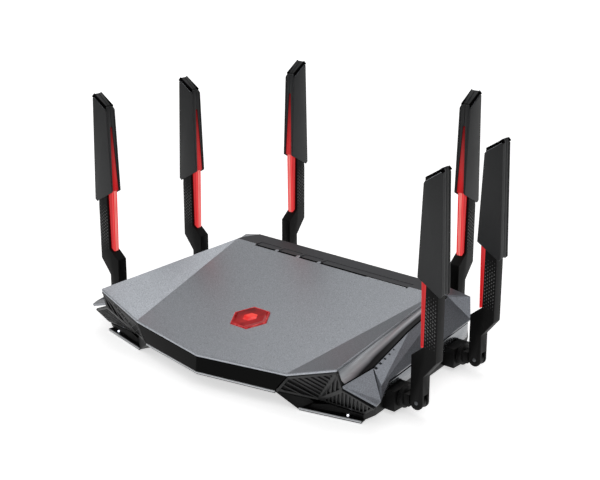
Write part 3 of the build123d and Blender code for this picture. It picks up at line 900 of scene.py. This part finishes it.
@dataclass
class StudioSet:
    """Pale floor, soft light and the camera."""

    eye: Point = (0.60157, -0.70907, 0.39997)
    heading: float = 40.13  # degrees round from straight on
    dip: float = 18.97  # degrees below the horizon
    lens: float = 80.7
    sensor: float = 36.0
    sky: tuple[tuple[float, str], ...] = (
        (0.0, "#f2f2f2"),
        (0.5, "#6a6a6a"),
        (0.62, "#8a8a8a"),
        (0.78, "#d6d6d6"),
        (0.9, "#ffffff"),
    )
    sky_strength: float = 0.5
    lamp_plan: tuple[tuple[str, Point, float, float], ...] = (  # name, place, size in metres, watts
        ("key", (1.3, -1.0, 1.7), 1.4, 7),
        ("top", (-0.5, 0.9, 2.0), 1.8, 9),
        ("fill", (-1.6, -0.8, 1.0), 1.2, 3),
    )

    def build(self) -> None:
        """Sets the whole studio."""
        self.camera()
        self.world()
        self.floor()
        self.lamps()
        bpy.context.scene.view_settings.view_transform = "Standard"

    def camera(self) -> None:
        """The camera at its viewing angle."""
        data = bpy.data.cameras.new("studio_camera")
        data.lens, data.sensor_width = self.lens, self.sensor
        data.clip_start, data.clip_end = 0.05, 30
        camera = bpy.data.objects.new("studio_camera", data)
        camera.location = self.eye
        camera.rotation_euler = (radians(90 - self.dip), 0, radians(self.heading))
        bpy.context.scene.collection.objects.link(camera)
        bpy.context.scene.camera = camera

    def world(self) -> None:
        """A pale tent, bright overhead and greyer towards the horizon."""
        world = bpy.data.worlds.new("studio_tent")
        world.use_nodes = True
        bpy.context.scene.world = world
        tree = world.node_tree
        tree.nodes.clear()
        way = add_node(tree, "ShaderNodeTexCoord").outputs["Generated"]
        height = add_node(tree, "ShaderNodeSeparateXYZ", {"Vector": way}).outputs["Z"]
        level = ranged(tree, height, 0.0, 1.0, start=-1.0)
        colour = set_ramp(add_node(tree, "ShaderNodeValToRGB", {"Fac": level}), self.sky)
        light = add_node(tree, "ShaderNodeBackground", {"Color": colour, "Strength": self.sky_strength})
        add_node(tree, "ShaderNodeOutputWorld", {"Surface": light.outputs["Background"]})

    def floor(self) -> None:
        """A wide flat sheet of pale paper under the router."""
        clear_selection()
        bpy.ops.mesh.primitive_plane_add(size=14, location=(0, 0, cad_low.z - FLOAT_GAP * MM))
        paper = renamed(settle(), "studio_paper")
        with editing(paper):
            bpy.ops.mesh.subdivide(number_cuts=6)
        paper.data.materials.append(PAPER.material())

    def lamps(self) -> None:
        """A soft key from the front right, a top light from behind and a weak fill from the left."""
        for name, place, size, power in self.lamp_plan:
            data = bpy.data.lights.new(f"{name}_softbox", "AREA")
            data.shape, data.size, data.energy = "DISK", size, power
            lamp = bpy.data.objects.new(f"{name}_softbox", data)
            lamp.location = place
            lamp.rotation_euler = (-Vector(place)).to_track_quat("-Z", "Y").to_euler()
            bpy.context.scene.collection.objects.link(lamp)


# ------------------------------------------------------------------ case


@dataclass
class CaseLines:
    """Corner points of the case's right half, in its own drawing's millimetres."""

    crease: Point = (71.5, -87.5, 27.5)
    horn: Point = (111.5, -85.0, 41.5)
    shoulder: Point = (96.0, 48.0, 49.9)
    groove_foot: Point = (113.2, -80.3, 28.4)
    ridge: tuple[Point, ...] = ((115.0, -50.0, 31.0), (109.0, -2.5, 40.0), (101.7, 56.0, 46.5))
    wing_tip: Point = (136.0, -73.3, 19.5)
    wing_nick: Point = (136.0, -69.0, 21.0)
    eave: tuple[Point, Point] = ((129.3, -60.0, 26.5), (111.0, 72.5, 26.5))
    louvre_foot: Point = (88.2, -74.2, 8.6)
    lip_centre: Point = (0.0, -100.4, 12.2)
    lip_end: Point = (61.4, -88.6, 12.2)
    corner_in: Point = (76.4, -81.4, 1.1)
    corner_out: Point = (121.8, -70.6, 1.1)


LINES = CaseLines()


@dataclass
class CasePanels:
    """The outer panels whose shape the frame already has, with moulded edges and real finishes."""

    seam_edge: float = 0.35
    soft_edge: float = 0.5

    def build(self) -> None:
        """Finishes every panel."""
        self.top_plate()
        self.rear_deck()
        self.tray()
        self.apron()
        self.skirts()

    def top_plate(self) -> None:
        """The satin silver plate, its rounded edge in a paler polished finish that paints a highlight."""
        plate_piece = softened(
            carried("top_plate", "silver_top_plate"), self.soft_edge, lit_edge=True, crease=PANEL_CREASE
        )
        placed(plate_piece, "case", [PLATE_SILVER, PLATE_EDGE_PAINTED_HIGHLIGHT], ["top_plate"])

    def rear_deck(self) -> None:
        """The grey deck behind the plate, a black bed under its slots that paints the shade inside them, and
        a thin pale line beside the long one that paints a highlight.
        """
        finished("rear_deck", "grey_rear_deck", Slot.DECK, DECK_ABS, self.seam_edge, crease=PANEL_CREASE)
        # a black bed under the slots paints the shade inside them
        bed = block("deck_slot_painted_shade_bed", at(-78.0, 44.4, 46.6), at(75.0, 55.0, 48.7))
        placed(softened(bed, 0.2), "case", [PAINTED_SHADE_BLACK])
        # a thin pale rod paints the highlight beside the long slot
        line = drum("slot_painted_highlight_line", at(36.0, 45.3, 49.15), at(72.0, 45.3, 49.15), 0.25 * MM, 10)
        placed(line, "case", [PLATE_EDGE_PAINTED_HIGHLIGHT])

    def tray(self) -> None:
        """The black bottom tray with its feet and screws."""
        finished("bottom_tray", "black_bottom_tray", Slot.CASE, TRAY_ABS, 0.2, segments=1, angle=40)
        finished("rubber_feet", "moulded_rubber_feet", Slot.RUBBER, FOOT_RUBBER, 0.3)
        finished("case_screws", "cross_head_screws", Slot.PIN, ZINC, 0.12, segments=1, angle=40)

    def apron(self) -> None:
        """The gloss black front band, pale beads along its lips that paint a highlight, and dark strips under
        them that paint a shadow.
        """
        width = self.seam_edge
        finished("front_apron", "gloss_front_apron", Slot.GLOSS, PIANO_BLACK, width, crease=PANEL_CREASE)
        parts, shades = [], []
        for side in (1, -1):
            lip_centre, lip_end = LINES.lip_centre, LINES.lip_end
            corner_in, corner_out = LINES.corner_in, LINES.corner_out
            centre = (0.0, lip_centre[1] + 0.87, lip_centre[2] - 0.45)
            end = mirrored((lip_end[0], lip_end[1] + 0.7, lip_end[2] - 0.45), side)
            parts.append(drum("bead", at(*centre), at(*end), 0.8 * MM, 16))
            low_in = mirrored((corner_in[0] + 0.6, corner_in[1] + 0.05, corner_in[2] + 0.6), side)
            low_out = mirrored((corner_out[0] - 0.4, corner_out[1] + 0.05, corner_out[2] + 0.6), side)
            parts.append(drum("bead", at(*low_in), at(*low_out), 0.65 * MM, 16))
            # dark strips under the beads paint a shadow
            below = Vector((0, 0.4, -0.95)) * MM
            shades.append(drum("shade", at(*centre) + below, at(*end) + below, 0.55 * MM, 12))
            below = Vector((0, 0.3, -0.85)) * MM
            shades.append(drum("shade", at(*low_in) + below, at(*low_out) + below, 0.5 * MM, 12))
        placed(softened(joined("lip_painted_shadow_strips", shades), 0.1), "case", [PAINTED_SHADE_BLACK])
        # pale beads paint the highlight along the lips
        beads = softened(joined("painted_highlight_lip_beads", parts), 0.1)
        placed(beads, "case", [LIP_PAINTED_HIGHLIGHT])

    def skirts(self) -> None:
        """The dark chromed skirts under the wings."""
        for name in ("right", "left"):
            finished(f"{name}_side_skirt", f"{name}_chromed_skirt", Slot.GLOSS, DARK_CHROME, 0.4)


@dataclass
class SideWings:
    """The sharp side wings with their crack line and square holes, and the hollow strips above them."""

    hole_sizes: tuple[float, ...] = (2.3, 2.0, 1.8, 1.5, 1.2)
    hollow: float = 1.5  # how deep the groove strip bows inwards
    rows: int = 18
    across: int = 10

    def build(self) -> None:
        """Finishes both sides."""
        for side, name in ((1, "right"), (-1, "left")):
            self.wing(side, name)
            self.groove(side, name)

    def wing(self, side: int, name: str) -> None:
        """One wing: crack and holes are cut out, then its edges are softened."""
        wing = carried(f"{name}_wing", f"{name}_gunmetal_wing")
        ridge, nick = LINES.ridge[0], LINES.wing_nick
        for index, size in enumerate(self.hole_sizes):
            middle = lerp(LINES.ridge[0], LINES.ridge[1], 0.03 + index * 0.125)
            centre = at(*mirrored((middle[0] + 1.2, middle[1], middle[2] - 0.6), side))
            half = Vector((size, size, 6)) * MM / 2
            cut_away(wing, block("hole", centre - half, centre + half))
        start, end = at(*mirrored(ridge, side)), at(*mirrored(nick, side))
        along = (end - start).normalized()
        wide = along.cross(Vector((0, 0, 1))).normalized() * 0.4 * MM
        depth = Vector((0, 0, 2.6 * MM))
        inset = along * 1.0 * MM
        far = end - along * 0.5 * MM
        outline = [
            start + inset - wide - depth,
            start + inset + wide - depth,
            far + wide * 0.4 - depth,
            far - wide * 0.4 - depth,
        ]
        cut_away(wing, plate("crack", outline, Vector((0, 0, 5 * MM))))
        softened(wing, 0.25, segments=2, angle=50, crease=PANEL_CREASE)
        placed(wing, "case", [WING_GREY], [f"{name}_wing"])
        # a black sheet under the crack and holes paints the shade seen through them
        rim = (LINES.groove_foot, LINES.ridge[0], LINES.ridge[1], LINES.eave[0])
        under = [at(*mirrored((p[0] - 1.4, p[1] + 0.6, p[2] - 2.4), side)) for p in rim]
        backing = plate("backing", under, Vector((0, 0, -0.5 * MM)))
        placed(softened(renamed(backing, f"{name}_wing_backing"), 0.1), "case", [NECK_ABS])

    def groove(self, side: int, name: str) -> None:
        """One concave strip of brushed foil between the plate's edge and the wing, its colour a painted
        reflection band above painted shade.
        """
        drop = 2.95
        top = [lerp(LINES.horn, LINES.shoulder, share) for share in (0.02, 0.27, 0.6, 1.0)]
        base = [(LINES.groove_foot[0], LINES.groove_foot[1] + 2.8, LINES.groove_foot[2]), *LINES.ridge]
        rows = []
        for row in range(self.rows + 1):
            spot = row / self.rows * 3
            index = min(int(spot), 2)
            high = lerp(top[index], top[index + 1], spot - index)
            low = lerp(base[index], base[index + 1], spot - index)
            high = (high[0] - 0.4, high[1], high[2] - drop + 0.5)
            low = (low[0] - 0.7, low[1], low[2] + 0.6)
            line = []
            for step in range(self.across + 1):
                share = step / self.across
                point = lerp(high, low, share)
                bow = self.hollow * sin(pi * share) ** 0.8
                line.append(at(*mirrored((point[0] - bow, point[1], point[2] - bow * 0.35), side)))
            rows.append(line)
        strip = sheet(f"{name}_brushed_groove", rows, 0.5 * MM)
        outward(strip)
        self.mark_across(strip, rows)
        take(strip)
        bpy.ops.object.shade_smooth_by_angle(angle=radians(40))
        placed(strip, "case", [GROOVE_FOIL_PAINTED_LIGHT], [f"{name}_groove_strip"])

    def mark_across(self, strip: Piece, rows: Sequence[Sequence[Vector]]) -> None:
        """Stores each point's share of the way from the strip's top to its foot, scaled down in the front
        rows; the foil's painted reflection and shade follow it.
        """
        marks = strip.data.attributes.new("across", "FLOAT", "POINT")
        flat = [
            (point, step / self.across * (0.55 + 0.45 * min(1.0, 2.6 * index / self.rows)))
            for index, line in enumerate(rows)
            for step, point in enumerate(line)
        ]
        for index, vertex in enumerate(strip.data.vertices):
            marks.data[index].value = min(flat, key=lambda item: (item[0] - vertex.co).length_squared)[1]


@dataclass
class CornerLouvres:
    """The ribbed front corners: fine slanting ribs inside, bolder slats outside, in flat frames."""

    fine_count: int = 11
    bold_count: int = 14
    gusset_count: int = 5
    frame_width: float = 1.5
    skin: float = 0.9

    def build(self) -> None:
        """Makes both corners."""
        for side, name in ((1, "right"), (-1, "left")):
            self.corner(side, name)

    def corner(self, side: int, name: str) -> None:
        """One corner's two ribbed panels on their backing."""
        crease, horn, foot = LINES.crease, LINES.horn, LINES.louvre_foot
        inner = [
            (crease[0] + 0.4, crease[1] + 0.5, crease[2] - 2.5),
            (horn[0] - 0.4, horn[1] + 0.5, horn[2] - 2.6),
            foot,
            (LINES.lip_end[0] + 1.4, LINES.lip_end[1] + 0.5, 12.8),
        ]
        under = (LINES.groove_foot[0] - 0.4, LINES.groove_foot[1] + 0.2, LINES.groove_foot[2] - 3.4)
        outer = [
            under,
            (LINES.wing_tip[0] - 2.9, LINES.wing_tip[1] + 0.5, LINES.wing_tip[2] - 4.1),
            (LINES.corner_out[0] + 1.3, LINES.corner_out[1] + 1.2, 7.4),
            foot,
        ]
        slant_in = Vector((0.86 * side, 0.1, -0.5))
        slant_out = Vector((-0.30 * side, 0.05, -0.95))
        parts = self.panel(inner, side, slant_in, self.fine_count, 0.9, 0.8)
        parts += self.panel(outer, side, slant_out, self.bold_count, 1.0, 1.1)
        parts += self.panel([inner[1], under, foot], side, slant_out, self.gusset_count, 1.0, 1.1)
        louvre = softened(outward(joined(f"{name}_ribbed_corner", parts)), 0.14, segments=1, angle=40)
        placed(louvre, "case", [RIB_ABS], [f"{name}_corner_grille"])

    def panel(
        self, corners: Sequence[Point], side: int, slant: Vector, count: int, width: float, height: float
    ) -> list[Piece]:
        """A backing plate, a raised frame around it and the ribs between.

        Args:
            corners: the panel's corners on the right-hand side.
            side: 1 for the right, -1 for the left.
            slant: which way the ribs run.
            count: number of ribs.
            width: width of a rib in millimetres.
            height: how far a rib stands above the backing.

        Returns:
            The panel's solids.
        """
        outline = [at(*mirrored(corner, side)) for corner in corners]
        middle = sum(outline, Vector()) / len(outline)
        normal = (outline[1] - outline[0]).cross(outline[-1] - outline[0]).normalized()
        if normal.y > 0:
            normal = -normal
        back = [point - normal * (height + 0.25) * MM for point in outline]
        parts = [plate("back", back, -normal * self.skin * MM)]
        for start, end in zip(outline, outline[1:] + outline[:1]):
            inward = normal.cross(end - start).normalized()
            if inward.dot(middle - start) < 0:
                inward = -inward
            inward *= self.frame_width * MM
            sink = -normal * (height + 0.4) * MM
            parts.append(plate("edge", [start, end, end + inward, start + inward], sink))
        run = (slant - normal * slant.dot(normal)).normalized()
        step = normal.cross(run).normalized()
        reach = [point.dot(step) for point in outline]
        low, high = min(reach), max(reach)
        for index in range(count):
            level = low + (high - low) * (index + 0.7) / (count + 0.4)
            ends = self.crossing(outline, step, level)
            if len(ends) < 2 or (ends[1] - ends[0]).length < 3 * MM:
                continue
            wide = step * width * MM / 2
            sink = -normal * (height + 0.3) * MM
            lift = -normal * 0.12 * MM
            rib = [ends[0] - wide + lift, ends[1] - wide + lift, ends[1] + wide + lift, ends[0] + wide + lift]
            parts.append(plate("rib", rib, sink))
        return parts

    def crossing(self, outline: Sequence[Vector], step: Vector, level: float) -> list[Vector]:
        """Where a line across the panel meets its outline, drawn in a little at both ends."""
        found = []
        for start, end in zip(outline, outline[1:] + outline[:1]):
            first, last = start.dot(step) - level, end.dot(step) - level
            if first * last < 0:
                found.append(start.lerp(end, first / (first - last)))
        if len(found) < 2:
            return found
        inset = (found[1] - found[0]).normalized() * self.frame_width * 0.5 * MM
        return [found[0] + inset, found[1] - inset]


@dataclass
class Badge:
    """The lit badge: a plain six-sided red lens in a polished rim, with a smaller bright core."""

    place: tuple[float, float] = (0.0, -44.0)
    radius: float = 15.0
    pitch: float = 0.1655  # how the plate rises towards the back
    crease_y: float = -87.5
    crease_z: float = 27.5

    def on_plate(self, x: float, y: float, lift: float) -> Vector:
        """A point lift millimetres above the plate's middle facet."""
        return at(x, y, self.crease_z + (y - self.crease_y) * self.pitch + lift)

    def ring(self, radius: float, lift: float) -> list[Vector]:
        """Six corners at one radius, flats to the front and back."""
        x, y = self.place
        turns = [radians(60 * i) for i in range(6)]
        return [self.on_plate(x + radius * cos(turn), y + radius * sin(turn), lift) for turn in turns]

    def build(self) -> None:
        """Makes the rim, the lens and its core."""
        lens = plate("red_badge_lens", self.ring(self.radius - 1.1, 0.0), Vector((0, 0, 0.75 * MM)))
        with editing(lens, Pick.FACES, lambda face: face.normal.z > 0.9):
            bpy.ops.mesh.inset(thickness=2.2 * MM, depth=0.22 * MM)
            bpy.ops.mesh.inset(thickness=1.6 * MM, depth=-0.15 * MM)
        placed(softened(lens, 0.25, angle=8), "case", [BADGE_RED], ["badge_lens"])
        low, high = self.ring(self.radius - 0.15, -1.2), self.ring(self.radius - 1.3, -1.2)
        sides = []
        for i in range(6):
            j = (i + 1) % 6
            sides.append(plate("rim", [low[i], low[j], high[j], high[i]], Vector((0, 0, 2.05 * MM))))
        rim = softened(outward(joined("badge_rim", sides)), 0.28, segments=3)
        placed(rim, "case", [BADGE_RIM])
        core = plate("badge_core", self.ring(5.6, 0.6), Vector((0, 0, 0.42 * MM)))
        placed(softened(core, 0.2), "case", [BADGE_CORE])


@dataclass
class RearPorts:
    """Sockets, buttons and indicator windows on the back."""

    jacks: tuple[float, ...] = (-36.0, -19.6, -3.2, 13.2, 33.0)
    rear_y: float = 81.0
    jack_z: float = 20.7
    contact_pitch: float = 1.02
    usb_x: float = 52.0
    usb_z: float = 18.9
    inlet_x: float = -67.0
    inlet_z: float = 19.7

    def build(self) -> None:
        """Finishes the back."""
        self.panel()
        self.sockets()
        self.buttons()

    def panel(self) -> None:
        """The black port panel with the antenna brackets."""
        finished("rear_port_panel", "black_port_panel", Slot.CASE, TRAY_ABS, 0.25, angle=40)

    def sockets(self) -> None:
        """Shells, contacts and windows of the sockets."""
        back, jack_z = self.rear_y, self.jack_z
        finished("ethernet_jacks", "tin_jack_shells", Slot.TIN, TIN, 0.2, angle=40)
        contacts, windows, liners = [], [], []
        for x in self.jacks:
            for index in range(8):
                left = x + (index - 3.5) * self.contact_pitch
                low = at(left - 0.22, back - 12.5, jack_z - 4.4)
                high = at(left + 0.22, back - 3.2, jack_z - 3.9)
                contacts.append(block("contact", low, high))
            for way in (-1, 1):
                middle = x + way * 5.6
                low = at(middle - 1.3, back - 0.9, jack_z + 4.35)
                high = at(middle + 1.3, back - 0.18, jack_z + 5.95)
                windows.append(block("window", low, high))
        rows = softened(joined("gold_jack_contacts", contacts), 0.08, segments=1)
        placed(rows, "case", [GOLD])
        lights = softened(joined("jack_light_windows", windows), 0.25)
        placed(lights, "case", [WHITE_LED])
        blue_x = self.jacks[-1]
        for low, high in (
            ((-5.9, -4.7), (5.9, -4.45)),
            ((-5.9, -4.7), (-5.55, 3.4)),
            ((5.55, -4.7), (5.9, 3.4)),
        ):
            start = at(blue_x + low[0], back - 9, jack_z + low[1])
            end = at(blue_x + high[0], back - 0.2, jack_z + high[1])
            liners.append(block("liner", start, end))
        liner = softened(joined("blue_socket_liner", liners), 0.08, segments=1)
        placed(liner, "case", [INSERT_BLUE])
        finished("usb_port", "usb_shell", Slot.TIN, TIN, 0.15, angle=40)
        strips = []
        for i in range(4):
            left = self.usb_x + (i - 1.5) * 2.4
            low = at(left - 0.5, back - 12, self.usb_z - 0.98)
            high = at(left + 0.5, back - 2.6, self.usb_z - 0.72)
            strips.append(block("strip", low, high))
        placed(softened(joined("usb_contacts", strips), 0.05, segments=1), "case", [GOLD])
        finished("power_inlet", "power_inlet_socket", Slot.BLACK, NECK_ABS, 0.2, angle=40)
        start, end = at(self.inlet_x, back - 10, self.inlet_z), at(self.inlet_x, back - 2.9, self.inlet_z)
        pin = drum("inlet_pin", start, end, 1.06 * MM, 20)
        placed(softened(pin, 0.35, segments=3), "case", [STEEL])

    def buttons(self) -> None:
        """The buttons, each riding on its own body."""
        for name in ("power_button", "pairing_button", "light_button", "reset_button"):
            finished(name, f"{name}_cap", Slot.BUTTON, BUTTON_ABS, 0.2, body=name, angle=40)


@dataclass
class Insides:
    """What is under the skin: these keep their frame shape and get real finishes."""

    finishes: dict[str, Finish] = field(
        default_factory=lambda: {
            "top_case": TRAY_ABS,
            "badge_light_guide": LIGHT_GUIDE,
            "circuit_board": BOARD_GREEN,
            "shield_cans": TIN,
            "heat_sink": ALUMINIUM,
            "button_switches": CHIP_BLACK,
            "status_lights": WHITE_LED,
        }
    )

    def build(self) -> None:
        """Dresses each hidden node."""
        for node, finish in self.finishes.items():
            dressed(node, finish)


# ------------------------------------------------------------------ antennas


@dataclass
class AntennaPattern:
    """One antenna modelled at its pin: x outwards, y across the blade, z up. Its six copies are placed."""

    blade: float = 9.5
    neck: float = 8.5
    inner_foot: tuple[float, float] = (-1.7, 88.1)
    inner_top: tuple[float, float] = (1.0, 154.7)
    outer_top: tuple[float, float] = (15.0, 163.7)
    outer_foot: tuple[float, float] = (17.7, 77.5)
    inner_edge: float = 62.0  # roughly how long the cap's two slanting edges are
    outer_edge: float = 80.0
    side_plate: float = 1.25
    band: float = 2.6  # width of the sloping band under the cap's top
    slit_top: float = 137.0
    slit_half: float = 2.9
    slit_tip: float = 0.9
    pieces: dict[str, Piece] = field(default_factory=dict)

    def local(self, u: float, v: float, h: float) -> Vector:
        """A point of the antenna's own drawing, in metres."""
        return Vector((u, v, h)) * MM

    def edge(self, foot: tuple[float, float], top: tuple[float, float], height: float) -> float:
        """How far out a slanting edge of the cap is at one height."""
        return foot[0] + (top[0] - foot[0]) * (height - foot[1]) / (top[1] - foot[1])

    def build(self) -> None:
        """Makes every part of the pattern."""
        self.pieces["core"] = self.core()
        self.pieces["studs"] = self.studs()
        self.pieces["cap"] = self.cap()
        self.pieces["band"] = self.top_band()
        self.pieces["edge"] = self.edge_line()
        self.pieces["pipe"] = self.pipe()
        self.pieces["tip"] = self.tip()
        self.pieces["pin"] = self.pin()
        self.pieces["swivel"] = self.swivel()

    def from_frame(self, node: str, name: str) -> Piece:
        """The right front antenna's node, moved to the pattern's own place."""
        piece = carried(node, name)
        piece.data.transform(Antenna("right_front", (144.4, -38.0, 11.8), 0).place().inverted())
        return piece

    def core(self) -> Piece:
        """The black neck with its fork and knuckle; what the cap hides is cut off."""
        core = self.from_frame("right_front_antenna_core", "core_pattern")
        with editing(core):
            bpy.ops.mesh.bisect(
                plane_co=self.local(0, 0, 100), plane_no=(0, 0, 1), use_fill=True, clear_outer=True
            )
        return softened(core, 0.45, segments=3, angle=30)

    def studs(self) -> Piece:
        """Small polished diamonds in staggered columns on both broad faces of the neck."""
        stud = drum("stud", self.local(0, 0, 0), self.local(0, 0.45, 0), 1.15 * MM, 4, 0.25 * MM)
        studs = []
        for way in (1, -1):
            for column in range(5):
                for row in range(14):
                    h = 41.5 + row * 2.6 + (column % 2) * 1.3
                    u = 5.9 + column * 1.75
                    fade = min(1.0, 0.45 + 0.16 * min(row, 13 - row))
                    turn = Matrix.Rotation(0 if way == 1 else pi, 4, "Z")
                    spot = Matrix.Translation(self.local(u, way * (self.neck / 2 - 0.03), h))
                    size = Matrix.Diagonal((0.75 * fade, 0.9 * fade, 1.05 * fade, 1))
                    studs.append(copied(stud, "stud_copy", spot @ turn @ size))
        discard(stud)
        return joined("stud_pattern", studs)

    def half_outline(self, inset: float, top_cut: float) -> list[tuple[float, float]]:
        """The cap's outline drawn in by inset, its top lowered by top_cut, with clipped corners."""
        low_in, top_in = self.inner_foot, self.inner_top
        top_out, low_out = self.outer_top, self.outer_foot
        top_in = lerp(top_in, low_in, top_cut / self.inner_edge)
        top_out = lerp(top_out, low_out, top_cut / self.outer_edge)
        return [
            (low_in[0] + inset, low_in[1] + inset),
            (top_in[0] + inset, top_in[1] - 0.8 - inset),
            (top_in[0] + 0.8 + inset, top_in[1] - inset * 0.8 + 0.25),
            (top_out[0] - 1.2 - inset, top_out[1] - 0.55 - inset * 0.8),
            (top_out[0] - inset, top_out[1] - 1.4 - inset),
            (low_out[0] - inset, low_out[1] + 2.0 + inset),
            (low_out[0] - 1.9 - inset, low_out[1] + 0.35 + inset),
        ]

    def cap(self) -> Piece:
        """Two half shells with a seam between them, two thin side plates and the slit's lips."""
        parts = []
        for way in (1, -1):
            outline = self.half_outline(0.0, self.band)
            face = way * (self.blade / 2 - self.side_plate)
            corners = [self.local(u, face, h) for u, h in outline]
            side = plate("side", corners, self.local(0, way * self.side_plate, 0))
            parts.append(softened(side, 0.38, segments=3))
            whole = self.half_outline(0.4, 0.0)
            shell = [(max(u, self.edge(self.inner_foot, self.inner_top, h) + 2.2), h) for u, h in whole]
            half = plate(
                "half",
                [self.local(u, way * 0.14, h) for u, h in shell],
                self.local(0, way * (self.blade / 2 - self.side_plate - 0.32), 0),
            )
            parts.append(softened(half, 0.3, segments=2))
            lip = [
                (0.14, self.slit_top + 1.5), (0.14, self.inner_top[1] - 0.8), (3.35, self.inner_top[1] - 0.8),
                (3.35, 88.9), (self.slit_half + 0.15, 88.9), (self.slit_tip + 0.15, self.slit_top + 1.5),
            ]
            inner = [self.edge(self.inner_foot, self.inner_top, h) + 0.35 for _, h in lip]
            corners = [self.local(u, way * v, h) for u, (v, h) in zip(inner, lip)]
            parts.append(softened(plate("lip", corners, self.local(2.4, 0, 0)), 0.12, segments=2))
        return joined("cap_pattern", parts)

    def top_band(self) -> Piece:
        """The glossy sloping band around the cap's slanted top."""
        parts = []
        for way in (1, -1):
            top_in, top_out = Vector(self.inner_top), Vector(self.outer_top)
            slope = (top_out - top_in).normalized()
            down = Vector((slope.y, -slope.x))
            start, end = top_in + slope * 0.35 + down * 0.2, top_out - slope * 0.9 + down * 0.2
            section = [(0.0, 3.75), (self.band + 0.2, 4.62), (self.band + 0.2, 3.0), (0.0, 3.0)]
            outline = [self.local(start.x + down.x * d, way * v, start.y + down.y * d) for d, v in section]
            push = end - start
            parts.append(plate("band", outline, self.local(push.x, 0, push.y)))
        return softened(joined("band_pattern", parts), 0.2, segments=2)

    def edge_line(self) -> Piece:
        """A thin pale line that paints a highlight where each side plate meets the band."""
        parts = []
        outline = self.half_outline(0.0, self.band)
        for way in (1, -1):
            start = self.local(outline[2][0] + 0.2, way * 4.48, outline[2][1] + 0.12)
            end = self.local(outline[3][0], way * 4.48, outline[3][1] + 0.12)
            parts.append(drum("line", start, end, 0.1 * MM, 8))
        return joined("edge_pattern", parts)

    def pipe(self) -> Piece:
        """The light pipe: a rounded bar along the neck."""
        bar = [(0.8, 38.6), (4.2, 41.2), (4.7, 84.0), (4.7, 92.0), (0.2, 92.0), (0.0, 84.0)]
        low = plate("pipe_pattern", [self.local(u, -3.0, h) for u, h in bar], self.local(0, 6.0, 0))
        return softened(low, 1.5, segments=4, angle=60)

    def tip(self) -> Piece:
        """The narrow end of the light pipe, seen through the cap's slit."""
        tip = self.slit_top + 1
        wedge = [(-self.slit_half, 88.3), (-self.slit_tip, tip), (self.slit_tip, tip), (self.slit_half, 88.3)]
        corners = [self.local(self.edge(self.inner_foot, self.inner_top, h) + 0.75, v, h) for v, h in wedge]
        return softened(plate("tip_pattern", corners, self.local(2.2, 0, 0)), 0.25, segments=2)

    def pin(self) -> Piece:
        """The hinge pin with slightly domed ends."""
        return softened(self.from_frame("right_front_hinge_pin", "pin_pattern"), 0.25, segments=3)

    def swivel(self) -> Piece:
        """The swivel with its ribbed collar."""
        swivel = softened(self.from_frame("right_front_swivel", "swivel_pattern"), 0.3, segments=2)
        profile = [(-13.05, 0.0), (-13.05, 6.9)]
        for rib in range(3):
            start = -12.95 + rib * 1.02
            profile += [(start + 0.1, 7.55), (start + 0.62, 7.55), (start + 0.82, 6.95)]
        profile += [(-9.7, 6.6), (-9.7, 0.0)]
        collar = turned(
            "collar", [self.local(u, 0, r) for u, r in profile], Vector((0, 0, 0)), Vector((1, 0, 0)), 40
        )
        return joined("swivel_pattern", [swivel, softened(collar, 0.12, segments=1)])


@dataclass
class Antenna:
    """One of the six antennas, standing at its own pin."""

    name: str
    pin: Point
    heading: float

    def place(self) -> Matrix:
        """The move from the pattern's place to this antenna's."""
        return Matrix.Translation(at(*self.pin)) @ Matrix.Rotation(radians(self.heading), 4, "Z")

    def build(self, pattern: AntennaPattern) -> None:
        """Copies every part of the pattern to this antenna and lets it ride."""
        glow = LitAcrylic(
            f"lit_red_pipe_{self.name}",
            "#e5262b",
            0.15,
            base=tuple(at(*self.pin)),
            heading=self.heading,
        )
        faint = LitAcrylic(
            f"lit_red_tip_{self.name}",
            "#a3181b",
            0.25,
            stops=((0.0, "#c01c1e"), (0.5, "#b0181b"), (1.0, "#8a1013")),
            base=tuple(at(*self.pin)),
            heading=self.heading,
            dark_h=146.0,
            full_h=96.0,
        )
        blade = f"{self.name}_antenna"
        plan = (
            ("core", "neck", Slot.CORE, blade, NECK_ABS, f"{self.name}_antenna_core"),
            ("studs", "neck_studs", Slot.CORE, blade, KNURL_BLACK, None),
            ("cap", "blade_cap", Slot.CAP, blade, CAP_ABS, f"{self.name}_antenna_cap"),
            ("band", "cap_band", Slot.CAP, blade, PIANO_BLACK, None),
            ("edge", "cap_painted_highlight_line", Slot.CAP, blade, CAP_EDGE_PAINTED_HIGHLIGHT, None),
            ("pipe", "red_pipe", Slot.RED_LIGHT, blade, glow, f"{self.name}_light_pipe"),
            ("tip", "slit_light", Slot.RED_LIGHT, blade, faint, None),
            ("pin", "steel_pin", Slot.PIN, blade, STEEL, f"{self.name}_hinge_pin"),
            ("swivel", "ribbed_swivel", Slot.CASE, f"{self.name}_swivel", TRAY_ABS, f"{self.name}_swivel"),
        )
        for part, name, slot, body, finish, node in plan:
            piece = copied(pattern.pieces[part], f"{self.name}_{name}", self.place())
            placed(piece, body, [finish], [node] if node else [])


@dataclass
class AntennaSet:
    """All six antennas from one pattern."""

    antennas: tuple[Antenna, ...] = (
        Antenna("right_front", (144.4, -38.0, 11.8), 0),
        Antenna("right_rear", (135.4, 45.0, 11.8), 0),
        Antenna("back_right", (82.8, 96.0, 23.5), 90),
        Antenna("back_left", (-82.8, 96.0, 23.5), 90),
        Antenna("left_rear", (-135.4, 45.0, 11.8), 180),
        Antenna("left_front", (-144.4, -38.0, 11.8), 180),
    )

    def build(self) -> None:
        """Makes the pattern, places the six antennas and removes the pattern."""
        pattern = AntennaPattern()
        pattern.build()
        for antenna in self.antennas:
            antenna.build(pattern)
        discard(*pattern.pieces.values())


def main() -> None:
    """Builds the studio and every sub-assembly."""
    kinds = (StudioSet, CasePanels, SideWings, CornerLouvres, Badge, RearPorts, Insides, AntennaSet)
    sections = [kind() for kind in kinds]
    for section in sections:
        LOG.info("building %s", type(section).__name__)
        section.build()
    clear_selection()


if __name__ == "__main__":
    main()
